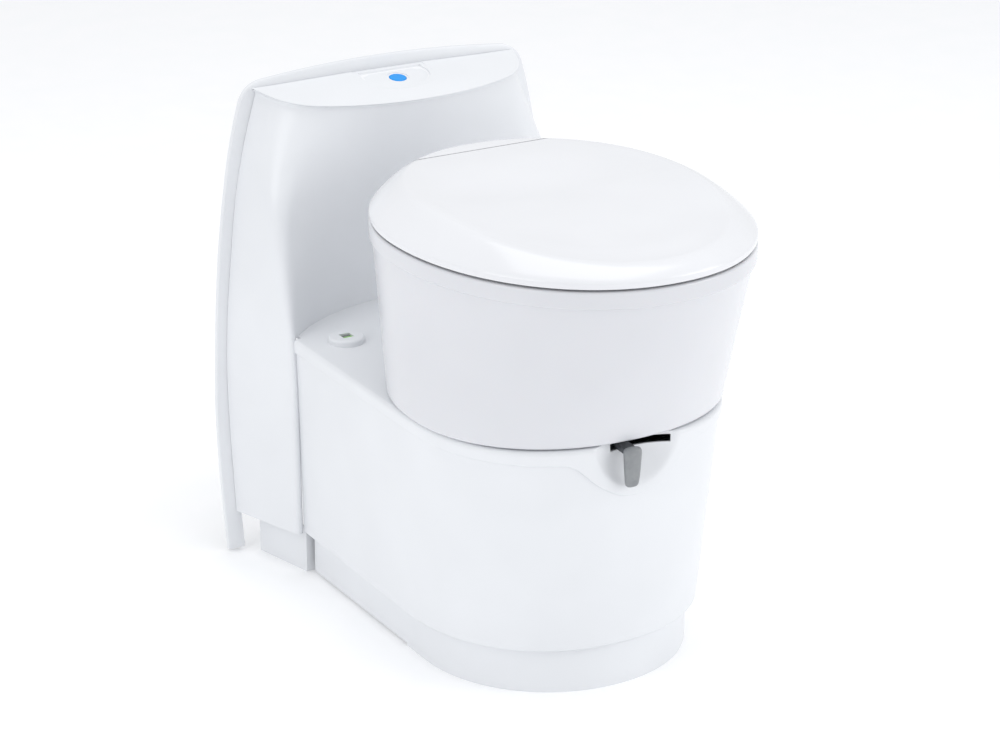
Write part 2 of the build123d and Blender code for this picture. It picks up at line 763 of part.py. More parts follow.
def in_front_of_cover(grow):
    """Space the lid may fill, in front of a stepped line that turns clear of the cover."""
    y = hinge_y + lid_side_reach + grow
    step = hinge_z - lid_side_low
    points = [(-400, 400), (y - (step - 400) * lid_side_slant, 400), (y, step), (y, 700), (-400, 700)]
    face = Plane.YZ * Polygon(*points, align=None)
    return extrude(face, amount=300, both=True)


def make_lid_shell():
    low = rim_z + lid_gap
    shell = lid_body(0, low, 0) - lid_body(lid_wall, low - 1, lid_wall)
    shell &= in_front_of_cover(0)
    shell += mirrored(rod_x(barrel_r, hinge_y, hinge_z, barrel_in, barrel_half))
    shell += mirrored(block(barrel_in, barrel_half, hinge_y - 8, hinge_y, hinge_z, hinge_z + barrel_r - 1))
    return shell - rod_x(pin_r + run, hinge_y, hinge_z, -120, 120)


def make_hinge_cover():
    body = lid_body(0, rim_z + 0.5, 0) - lid_body(lid_wall, rim_z - 1, lid_wall)
    body &= block(-300, 300, hinge_y + 1.5, 300, 0, 700)
    return body - in_front_of_cover(1.5) - rod_x(lid_sweep_r, hinge_y, hinge_z, -300, 300)


def lid_buffer_places():
    return [(-100, -200), (100, -200), (-130, -20), (130, -20)]


def make_lid_buffers():
    under = lid_body(lid_wall, rim_z, lid_wall)
    pads = Part()
    for x, y in lid_buffer_places():
        pads += rod(7, x, y, seat_bottom + seat_thick, 520)
    return pads & under


def make_seat_ring():
    low = seat_bottom
    high = seat_bottom + seat_thick
    outer = loft_wires(rim_wire(low, seat_inset), rim_wire(high - 4, seat_inset + 1))
    outer += loft_wires(rim_wire(high - 4, seat_inset + 1), rim_wire(high, seat_inset + 7))
    hole = loft_wires(seat_hole_wire(low - 1, 0), seat_hole_wire(high - 4, 0))
    hole += loft_wires(seat_hole_wire(high - 4, 0), seat_hole_wire(high + 1, 7))
    seat = outer - hole - block(-300, 300, seat_rear, 300, 0, 700)
    x0, x1 = seat_ear_in, seat_ear_out
    arm = block(x0, x1, seat_rear - 20, hinge_y, high - 8, high) + rod_x(ear_r, hinge_y, hinge_z, x0, x1)
    arm += block(x0, x1, hinge_y - 16, hinge_y, high - 8, hinge_z)
    arm -= block(x0 - 1, x1 + 1, hinge_y - 2, 200, 0, hinge_z - ear_r)
    seat += mirrored(arm)
    return seat - rod_x(pin_r + run, hinge_y, hinge_z, -120, 120)


def seat_hole_wire(z, grow):
    return oval(z, seat_hole_half + grow, mouth_centre, seat_hole_front + grow, seat_hole_rear + grow)


def make_seat_buffers():
    pads = Part()
    for x, y in ((-140, -190), (140, -190), (-150, 0), (150, 0)):
        pads += rod(8, x * 0.9, y, rim_z, seat_bottom)
    return pads


# ---------------------------------------------------------------- valve drive
def make_handle_ring():
    inner = outlet_r + outlet_wall + 4.0 + 0.3
    pitch_r = module * ring_teeth / 2
    body = Circle(pitch_r - 1.1 * module) - Circle(inner)
    for k in range(-5, 3):
        body += gear_tooth(pitch_r, (k + 0.5) * 360 / ring_teeth)
    part = Pos(0, 0, ring_z) * extrude(body, amount=ring_thick - 0.5)
    arm = block(inner + 3, 131, -8, 8, ring_z, ring_z + 5)
    arm += block(122, 131, -8, 8, ring_z, ring_z + 18.5)
    arm += block(122, 160, -7, 7, ring_z + 13, ring_z + 18.5)
    part += Rot(0, 0, -90 + handle_rest) * arm
    return Pos(0, swivel_y, 0) * part


def make_blade_handle():
    top = ring_z + 21
    low = ring_z - 22
    wires = []
    for z, half, y0, y1 in ((low, 7.6, 160.5, 168.0), (ring_z, 9.0, 159.0, 169.5), (top, 10.0, 157.5, 168.5)):
        wires.append(Pos((y0 + y1) / 2, 0, z) * Wire(Rectangle(y1 - y0, 2 * half).edges()))
    body = loft_wires(*wires)
    upright = [e for e in body.edges() if abs(e.tangent_at(0.5).Z) > 0.8]
    body = fillet(upright, 2.6)
    body -= block(150, 160, -7, 7, ring_z + 13, ring_z + 18.5)
    return Pos(0, swivel_y, 0) * Rot(0, 0, -90 + handle_rest) * body


def make_drive_gear():
    pitch_r = module * gear_teeth / 2
    body = Circle(pitch_r - 1.1 * module)
    for k in range(gear_teeth):
        body += gear_tooth(pitch_r, 180 + k * 360 / gear_teeth)
    gear = Pos(0, 0, ring_z) * extrude(body, amount=ring_thick - 0.5)
    low = ring_z - mech_gap - mech_plate
    gear += rod(axle_r, 0, 0, low - 0.4, ring_z)
    gear += rod(9, 0, 0, low - 1.7, low - 0.4)
    gear += block(-2.5, 2.5, -9, 9, cover_z + 4.2, low - 1.5)
    return Pos(drive_x, swivel_y, 0) * gear


# ---------------------------------------------------------------- cassette
def rounded_tank(inset):
    high = tank_top - inset
    low = tank_bottom + inset
    body = block(-tank_half + inset, tank_half - inset, tank_front + inset, tank_rear - inset, low, high)
    body = fillet(body.edges().filter_by(Axis.Z), tank_corner - inset)
    rims = body.edges().group_by(Axis.Z)[0] + body.edges().group_by(Axis.Z)[-1]
    body = fillet(rims, 12 - inset)
    for x0, x1 in ((-200, -109 + inset), (109 - inset, 200)):
        body -= rod_x(wheel_r + 3 + inset, wheel_y, axle_z, x0, x1)
    return body


def make_cassette_tank():
    tank = rounded_tank(0) - rounded_tank(tank_wall)
    tank -= rod(valve_bore + 4, 0, swivel_y, tank_top - 10, tank_top + 1)
    tank += ring(spout_r + 5, spout_r, spout_x, spout_y, tank_top - 6, tank_top + 4)
    tank -= rod(spout_r, spout_x, spout_y, tank_top - 10, tank_top + 10)
    for side in (-1, 1):
        lug = block(97, 106, wheel_y - 8, wheel_y + 8, axle_z, tank_bottom + 1)
        lug += rod_x(8, wheel_y, axle_z, 97, 106)
        tank += lug if side > 0 else mirror(lug, about=Plane.YZ)
        post = block(58, 66, tank_rear - 2, tank_rear + 9, bail_z - 6, bail_z + 6)
        tank += post if side > 0 else mirror(post, about=Plane.YZ)
        hook = block(float_x + side * 6 - 2, float_x + side * 6 + 2, float_y - 6, float_y + 6, float_z - 5,
                     tank_top - 1)
        tank += hook
    tank -= rod_x(axle_r, wheel_y, axle_z, -110, 110)
    tank -= rod_x(bail_r + run, tank_rear + 5, bail_z, -70, 70)
    tank -= rod_x(float_pin + run, float_y, float_z, float_x - 12, float_x + 12)
    tank += ring(vent_r + 4, vent_r + gap, vent_x, vent_y, tank_top - 1, tank_top + 7)
    return tank - rod(vent_r - 2, vent_x, vent_y, tank_top - 8, tank_top + 1)


spout_x = 85.0
spout_y = 200.0
spout_r = 26.0
spout_z = 258.0
bail_z = 196.0
bail_r = 3.0
float_x = -100.0
float_y = 150.0
float_z = 222.0
float_pin = 2.5
vent_x = -100.0
vent_y = 212.0
vent_r = 8.0
knob_r = 13.0


def make_valve_body():
    plate = block(-70, 128, -136, 56, tank_top, tank_top + 4)
    plate = fillet(plate.edges().filter_by(Axis.Z), 10)
    plate += ring(valve_bore + 4 - gap, valve_bore, 0, swivel_y, tank_top - 6, tank_top + 1)
    plate -= rod(valve_bore, 0, swivel_y, tank_top - 10, tank_top + 10)
    plate -= rod(4.0 + run, drive_x, swivel_y, tank_top + 1, tank_top + 10)
    for x, y in valve_leg_places():
        plate += rod(4, x, y, tank_top + 4, cover_z)
    for x, y in valve_leg_places():
        plate -= rod(1.5, x, y, tank_top - 2, cover_z + 1)
    return plate


def valve_leg_places():
    return [(-62, -128), (-62, -20), (-62, 50), (122, -128), (122, -112), (60, -128)]


def make_valve_screws():
    screws = Part()
    for x, y in valve_leg_places():
        screws += rod(1.5, x, y, tank_top + 1, cover_z + cover_plate - 1.0)
    return screws


def make_valve_cover():
    top = cover_z + cover_plate
    plate = block(-67, 128, -136, 56, cover_z, top)
    plate += block(-67, 60, 50, 118, cover_z, top)
    plate -= rod(49.5, 0, swivel_y, cover_z - 1, top + 1)
    plate -= rod(knob_r + gap, drive_x, swivel_y, cover_z - 1, top + 1)
    for x, y in valve_leg_places():
        plate -= rod(1.5, x, y, cover_z - 1, top - 1.0)
    for x0, x1 in ((-62, -59.2), (59.2, 61)):
        plate += block(x0, x1, -134, 116, top, top + 5)
    return plate


def make_lip_seal():
    low = blade_z + blade_thick + 0.2
    seal = ring(54, valve_bore, 0, swivel_y, low, cover_z)
    return seal + ring(49.5, valve_bore, 0, swivel_y, low, cover_z + cover_plate + 1.7)


def make_valve_blade():
    blade = rod(blade_r, 0, swivel_y, blade_z, blade_z + blade_thick)
    blade += block(30, drive_x, swivel_y - 12, swivel_y + 12, blade_z, blade_z + blade_thick)
    blade += rod(12, drive_x, swivel_y, blade_z, blade_z + blade_thick)
    return blade - rod(4.0, drive_x, swivel_y, blade_z - 1, blade_z + 10)


def make_blade_knob():
    knob = rod(4.0, drive_x, swivel_y, tank_top + 1.2, blade_z + blade_thick)
    knob += rod(knob_r, drive_x, swivel_y, blade_z + blade_thick, cover_z + 8.5)
    return knob - block(drive_x - 3, drive_x + 3, swivel_y - 20, swivel_y + 20, cover_z + 3.7, cover_z + 20)


def make_sliding_cover():
    low = cover_z + cover_plate + 2.0
    plate = block(-58.8, 58.8, -18, 104, low, low + 2.2)
    return plate + block(-20, 20, 98, 104, low, low + 5)


def make_float_arm():
    pin = rod_x(float_pin, float_y, float_z, float_x - 11, float_x + 11)
    boss = rod_x(5, float_y, float_z, float_x - 3.6, float_x + 3.6)
    reach = 112.0
    a = radians(64)
    stem = Pos(float_x, float_y, float_z) * Rot(64, 0, 0) * Pos(0, -reach / 2, 0) * Box(5, reach, 4)
    ball = Pos(float_x, float_y - reach * cos(a), float_z - reach * sin(a)) * Sphere(17)
    return pin + boss + stem + ball


def make_vent_button():
    low = tank_top + 0.2
    cap = rod(vent_r, vent_x, vent_y, low + 4.5, tank_top + 12)
    return fillet(cap.edges().sort_by(Axis.Z)[-1], 1.5)


def make_vent_spring():
    return coil(vent_x, vent_y, tank_top, tank_top + 4.7, 6.0, 0.5, 2)


def make_pour_spout():
    neck = rod(spout_r - gap, spout_x, spout_y, tank_top - 4, tank_top + 6)
    neck += rod(spout_r + 3, spout_x, spout_y, tank_top + 4.3, tank_top + 8)
    neck += rod(20, spout_x, spout_y, tank_top + 8, spout_z + 14)
    reach = rod_x(17, spout_y, spout_z, spout_x - 92, spout_x)
    body = neck + reach + Pos(spout_x, spout_y, spout_z) * Sphere(19.9)
    body -= rod_x(14.5, spout_y, spout_z, spout_x - 93, spout_x)
    body -= rod(17, spout_x, spout_y, tank_top - 5, spout_z)
    return body


def make_spout_cap():
    face = spout_x - 92
    cap = rod_x(20.5, spout_y, spout_z, face - 5, face + 12)
    cap -= rod_x(17 + run, spout_y, spout_z, face, face + 13)
    return cap


def make_cap_seal():
    face = spout_x - 92
    seal = rod_x(14.3, spout_y, spout_z, face, face + 3)
    return seal - rod_x(9, spout_y, spout_z, face - 1, face + 4)


def make_carry_handle():
    y = tank_rear + 5
    bail = rod_x(bail_r, y, bail_z, -70, 70) - rod_x(bail_r + 1, y, bail_z, -46, 46)
    bail = Part() + bail
    for side in (-1, 1):
        x = side * 51
        bail += block(x - 5, x + 5, y - 3.5, y + 3.5, bail_z - 66, bail_z + 3.2)
    bail += block(-56, 56, y - 5, y + 7, bail_z - 84, bail_z - 64)
    return bail


def make_cassette_wheels():
    wheel = rod_x(wheel_r, wheel_y, axle_z, 112, 130)
    wheel = fillet(wheel.edges().filter_by(GeomType.CIRCLE), 2.0)
    for x0, x1 in ((111, 114), (128, 131)):
        wheel -= ring_at(15, 8, x0, x1)
    return mirrored(wheel - rod_x(axle_r + run, wheel_y, axle_z, 100, 140))


def ring_at(outer, inner, x0, x1):
    return rod_x(outer, wheel_y, axle_z, x0, x1) - rod_x(inner, wheel_y, axle_z, x0 - 1, x1 + 1)


def make_wheel_axles():
    axle = rod_x(axle_r, wheel_y, axle_z, 97, 131.5) + rod_x(6, wheel_y, axle_z, 131.5, 134)
    return mirrored(axle)


# ---------------------------------------------------------------- write the parts
pieces = (
    make_base_shell, make_housing_screws, make_deck_cover, make_base_plinth,
    make_rear_foot, make_console_shell, make_wall_seal, make_control_panel,
    make_flush_button, make_button_spring, make_control_board, make_push_switch, make_board_screws,
    make_solenoid_valve, make_solenoid_coil, make_flush_hose, make_wiring_loom, make_hose_clamps,
    make_fuse_holder, make_level_housing, make_level_lens, make_level_dial, make_swivel_bearing,
    make_mechanism_plate, make_cassette_rails, make_cassette_stop,
    make_bowl_shell, make_bowl_insert, make_flush_nozzle, make_bowl_hose, make_swivel_retainer,
    make_retainer_screws, make_hinge_bracket, make_hinge_pins, make_lid_shell, make_hinge_cover,
    make_lid_buffers, make_seat_ring, make_seat_buffers, make_handle_ring, make_blade_handle,
    make_drive_gear, make_cassette_tank, make_valve_body, make_valve_screws, make_valve_cover,
    make_lip_seal, make_valve_blade, make_blade_knob, make_sliding_cover, make_float_arm,
    make_vent_button, make_vent_spring, make_pour_spout, make_spout_cap, make_cap_seal,
    make_carry_handle, make_cassette_wheels, make_wheel_axles,
)
os.makedirs("parts", exist_ok=True)
for piece in pieces:
    export_step(piece(), "parts/" + piece.__name__[len("make_"):] + ".step")
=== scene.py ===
"""Cassette toilet with a swivelling bowl: finishes, smooth moulded skins, camera and light.

Sizes inside the classes are in millimetres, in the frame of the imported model:
X to the user's right, -Y to the front and +Z up, with the floor at z = 0.
"""

import json
import logging
import math
from dataclasses import dataclass, field
from enum import Enum
from typing import Any, Callable, Optional, Sequence

import bmesh
import bpy
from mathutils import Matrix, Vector

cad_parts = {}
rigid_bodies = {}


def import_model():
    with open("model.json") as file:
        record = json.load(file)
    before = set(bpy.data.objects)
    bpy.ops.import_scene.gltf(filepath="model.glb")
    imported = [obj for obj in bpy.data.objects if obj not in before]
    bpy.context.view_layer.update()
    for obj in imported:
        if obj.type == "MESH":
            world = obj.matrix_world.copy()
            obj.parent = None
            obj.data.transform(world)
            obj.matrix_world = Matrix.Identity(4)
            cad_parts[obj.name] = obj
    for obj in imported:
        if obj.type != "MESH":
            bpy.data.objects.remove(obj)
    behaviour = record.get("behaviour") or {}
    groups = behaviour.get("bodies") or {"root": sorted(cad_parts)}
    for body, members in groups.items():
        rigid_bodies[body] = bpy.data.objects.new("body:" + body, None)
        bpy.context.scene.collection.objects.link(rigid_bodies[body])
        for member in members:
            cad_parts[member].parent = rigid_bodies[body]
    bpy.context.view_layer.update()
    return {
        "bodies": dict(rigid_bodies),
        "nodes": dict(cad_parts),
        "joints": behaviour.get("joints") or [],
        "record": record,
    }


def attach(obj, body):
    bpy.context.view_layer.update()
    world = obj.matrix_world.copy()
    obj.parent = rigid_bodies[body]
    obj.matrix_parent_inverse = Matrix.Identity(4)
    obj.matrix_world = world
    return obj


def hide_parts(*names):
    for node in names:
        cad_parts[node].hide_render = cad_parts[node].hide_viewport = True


LOG = logging.getLogger("cassette_toilet")
MM = 0.001

Point = tuple[float, float, float]
Ring = list[Point]


# ---------------------------------------------------------------- numbers and outlines
def linear_colour(code: str) -> tuple[float, float, float, float]:
    """Turn an sRGB hex value into linear RGBA.

    Args:
        code: six hex digits, with or without a leading hash.

    Returns:
        Linear red, green, blue and an alpha of one.
    """
    digits = code.lstrip("#")
    parts = [int(digits[i:i + 2], 16) / 255.0 for i in (0, 2, 4)]
    low = [c / 12.92 if c <= 0.04045 else ((c + 0.055) / 1.055) ** 2.4 for c in parts]
    return (low[0], low[1], low[2], 1.0)


def smoothstep(low: float, high: float, value: float) -> float:
    """Ease from 0 at low to 1 at high."""
    t = min(1.0, max(0.0, (value - low) / (high - low)))
    return t * t * (3.0 - 2.0 * t)


def eased(keys: Sequence[tuple[float, float]], at: float) -> float:
    """Read a smooth curve through (place, value) keys.

    Args:
        keys: places in rising order, each with its value.
        at: the place to read.

    Returns:
        The value there, on a cubic with slopes taken from the neighbouring keys.
    """
    if at <= keys[0][0]:
        return keys[0][1]
    if at >= keys[-1][0]:
        return keys[-1][1]
    slopes = []
    for i in range(len(keys)):
        before, after = keys[max(0, i - 1)], keys[min(len(keys) - 1, i + 1)]
        slopes.append((after[1] - before[1]) / (after[0] - before[0]))
    i = max(k for k in range(len(keys) - 1) if keys[k][0] <= at)
    span = keys[i + 1][0] - keys[i][0]
    t = (at - keys[i][0]) / span
    return ((2 * t ** 3 - 3 * t ** 2 + 1) * keys[i][1] + (t ** 3 - 2 * t ** 2 + t) * span * slopes[i]
            + (3 * t ** 2 - 2 * t ** 3) * keys[i + 1][1] + (t ** 3 - t ** 2) * span * slopes[i + 1])


def power_of(value: float, power: float) -> float:
    """Raise to a power and keep the sign."""
    return math.copysign(abs(value) ** power, value)


@dataclass(frozen=True)
class Egg:
    """Closed egg-shaped outline in plan: two half superellipses that share a width."""

    half: float
    centre: float
    front: float
    rear: float
    power: float = 2.0

    def at(self, angle: float, inset: float = 0.0) -> tuple[float, float]:
        """Point of the outline.

        Args:
            angle: radians from the front, towards +X.
            inset: distance to draw the outline in.

        Returns:
            X and Y in millimetres.
        """
        reach = (self.front if math.cos(angle) > 0 else self.rear) - inset
        x = (self.half - inset) * power_of(math.sin(angle), 2 / self.power)
        return x, self.centre - reach * power_of(math.cos(angle), 2 / self.power)

    def ring(self, height: float, inset: float = 0.0, count: int = 160) -> Ring:
        """Outline as a closed ring of points at one height."""
        steps = [2 * math.pi * i / count for i in range(count)]
        return [(*self.at(a, inset), height) for a in steps]


# ---------------------------------------------------------------- meshes
def new_object(name: str, mesh_data: bmesh.types.BMesh) -> bpy.types.Object:
    """Store a bmesh built in millimetres as an object in metres.

    Args:
        name: the piece's name.
        mesh_data: the geometry, which is freed.

    Returns:
        The linked object, shaded smooth.
    """
    bmesh.ops.scale(mesh_data, vec=(MM, MM, MM), verts=mesh_data.verts)
    bmesh.ops.recalc_face_normals(mesh_data, faces=mesh_data.faces)
    mesh = bpy.data.meshes.new(name)
    mesh_data.to_mesh(mesh)
    mesh_data.free()
    for face in mesh.polygons:
        face.use_smooth = True
    piece = bpy.data.objects.new(name, mesh)
    bpy.context.scene.collection.objects.link(piece)
    return piece


def skin_rings(bm: bmesh.types.BMesh, rings: Sequence[Ring], closed: bool = True,
               wrap: bool = False) -> list[list[bmesh.types.BMVert]]:
    """Join rings of equal length with quads.

    Args:
        bm: the mesh to add to.
        rings: the rings in order.
        closed: whether each ring closes on itself.
        wrap: whether the last ring joins the first.

    Returns:
        The vertices made, ring by ring.
    """
    rows = [[bm.verts.new(p) for p in ring] for ring in rings]
    count = len(rings[0])
    last = count if closed else count - 1
    for k in range(len(rows) if wrap else len(rows) - 1):
        low, high = rows[k], rows[(k + 1) % len(rows)]
        for i in range(last):
            j = (i + 1) % count
            bm.faces.new((low[i], low[j], high[j], high[i]))
    return rows


def fill_loops(bm: bmesh.types.BMesh, loops: Sequence[Sequence[bmesh.types.BMVert]]) -> None:
    """Fill flat loops, the later ones as holes in the first.

    Args:
        bm: the mesh that holds the loops.
        loops: closed loops of vertices.
    """
    edges = []
    for loop in loops:
        for a, b in zip(loop, [*loop[1:], loop[0]]):
            edges.append(bm.edges.get((a, b)) or bm.edges.new((a, b)))
    bmesh.ops.triangle_fill(bm, use_beauty=True, edges=edges)


def cut_away(bm: bmesh.types.BMesh, y: float, keep_front: bool, fill: bool) -> None:
    """Cut a mesh at a plane square to Y and keep one side.

    Args:
        bm: the mesh to cut.
        y: place of the plane.
        keep_front: keep the side towards -Y, or else the other.
        fill: close the cut with faces.
    """
    geometry = [*bm.verts, *bm.edges, *bm.faces]
    cut = bmesh.ops.bisect_plane(bm, geom=geometry, dist=0.001, plane_co=(0, y, 0), plane_no=(0, 1, 0),
                                 clear_outer=keep_front, clear_inner=not keep_front)
    if fill:
        edges = [e for e in cut["geom_cut"] if isinstance(e, bmesh.types.BMEdge)]
        bmesh.ops.triangle_fill(bm, use_beauty=True, edges=edges)


def thicken(piece: bpy.types.Object, wall: float) -> bpy.types.Object:
    """Give an open skin a wall that goes inwards, and apply it."""
    solid = piece.modifiers.new("wall", "SOLIDIFY")
    solid.thickness = wall * MM
    solid.offset = -1.0
    solid.use_even_offset = False
    return apply_modifiers(piece)


def round_edges(piece: bpy.types.Object, radius: float, angle: float = 35.0,
                segments: int = 3) -> bpy.types.Object:
    """Round every edge sharper than an angle, and apply it."""
    bevel = piece.modifiers.new("rounding", "BEVEL")
    bevel.width = radius * MM
    bevel.segments = segments
    bevel.limit_method = "ANGLE"
    bevel.angle_limit = math.radians(angle)
    bevel.harden_normals = False
    return apply_modifiers(piece)


def apply_modifiers(piece: bpy.types.Object) -> bpy.types.Object:
    """Replace a piece's mesh by the one its modifiers make."""
    depsgraph = bpy.context.evaluated_depsgraph_get()
    done = bpy.data.meshes.new_from_object(piece.evaluated_get(depsgraph))
    piece.modifiers.clear()
    piece.data = done
    return piece


def keep_creases(piece: bpy.types.Object, angle: float = 32.0) -> bpy.types.Object:
    """Shade smooth, apart from edges sharper than an angle."""
    bm = bmesh.new()
    bm.from_mesh(piece.data)
    limit = math.radians(angle)
    for edge in bm.edges:
        edge.smooth = len(edge.link_faces) == 2 and edge.calc_face_angle(0.0) < limit
    bm.to_mesh(piece.data)
    bm.free()
    return piece


def prism(bm: bmesh.types.BMesh, outline: Sequence[Point], shift: Point) -> None:
    """Closed prism from a flat outline pushed along a vector."""
    low = [bm.verts.new(p) for p in outline]
    high = [bm.verts.new(tuple(Vector(p) + Vector(shift))) for p in outline]
    bm.faces.new(low)
    bm.faces.new(list(reversed(high)))
    for i in range(len(low)):
        j = (i + 1) % len(low)
        bm.faces.new((low[i], low[j], high[j], high[i]))


# ---------------------------------------------------------------- finishes
def add_node(tree: bpy.types.NodeTree, kind: str, settings: Optional[dict[str, Any]] = None,
             links: Optional[dict[str, bpy.types.NodeSocket]] = None) -> bpy.types.Node:
    """Add a shader node with its settings and incoming links.

    Args:
        tree: the material's node tree.
        kind: the node type's identifier.
        settings: node attributes, or input values where the key names an input.
        links: input name to the socket that feeds it.

    Returns:
        The new node.
    """
    node = tree.nodes.new(kind)
    for key, value in (settings or {}).items():
        if key in node.inputs:
            node.inputs[key].default_value = value
        else:
            setattr(node, key, value)
    for key, socket in (links or {}).items():
        tree.links.new(socket, node.inputs[key])
    return node


@dataclass(frozen=True)
class Finish:
    """A surface finish: what it is made of and what its mould or process leaves on it."""

    name: str
    colour: str
    shade: str
    roughness: float
    ior: float = 1.5
    metallic: float = 0.0
    coat: float = 0.0
    transmission: float = 0.0
    grain_mm: float = 2.0
    grain_depth: float = 0.02
    wave_mm: float = 60.0
    stretch: Point = (1.0, 1.0, 1.0)
    sheen: float = 0.0
    subsurface: float = 0.0
    opacity: float = 1.0
    glow: float = 0.0

    def build(self) -> bpy.types.Material:
        """Make the material.

        Returns:
            A principled material with slow colour drift, uneven gloss and a fine relief.
        """
        material = bpy.data.materials.new(self.name)
        material.use_nodes = True
        tree = material.node_tree
        tree.nodes.clear()
        place = add_node(tree, "ShaderNodeTexCoord").outputs["Object"]
        scale = tuple(1.0 / s for s in self.stretch)
        lay = add_node(tree, "ShaderNodeMapping", {"Scale": scale}, {"Vector": place}).outputs["Vector"]
        drift = add_node(tree, "ShaderNodeTexNoise",
                         {"Scale": 1.0 / (self.wave_mm * MM), "Detail": 2.0, "Roughness": 0.5},
                         {"Vector": lay}).outputs["Fac"]
        grain = add_node(tree, "ShaderNodeTexNoise",
                         {"Scale": 1.0 / (self.grain_mm * MM), "Detail": 3.0, "Roughness": 0.55},
                         {"Vector": lay}).outputs["Fac"]
        colour = add_node(tree, "ShaderNodeValToRGB", None, {"Fac": drift})
        colour.color_ramp.elements[0].position = 0.35
        colour.color_ramp.elements[0].color = linear_colour(self.shade)
        colour.color_ramp.elements[1].position = 0.65
        colour.color_ramp.elements[1].color = linear_colour(self.colour)
        gloss = add_node(tree, "ShaderNodeMapRange",
                         {"To Min": self.roughness * 0.88, "To Max": self.roughness * 1.12},
                         {"Value": drift})
        relief = add_node(tree, "ShaderNodeBump", {"Strength": 1.0, "Distance": self.grain_depth * MM},
                          {"Height": grain})
        shader = add_node(tree, "ShaderNodeBsdfPrincipled",
                          {"IOR": self.ior, "Metallic": self.metallic, "Coat Weight": self.coat,
                           "Coat Roughness": 0.12, "Transmission Weight": self.transmission,
                           "Sheen Weight": self.sheen, "Subsurface Weight": self.subsurface,
                           "Subsurface Scale": 0.003, "Alpha": self.opacity,
                           "Emission Color": linear_colour(self.colour),
                           "Emission Strength": self.glow},
                          {"Base Color": colour.outputs["Color"], "Roughness": gloss.outputs["Result"],
                           "Normal": relief.outputs["Normal"]})
        add_node(tree, "ShaderNodeOutputMaterial", None, {"Surface": shader.outputs["BSDF"]})
        return material


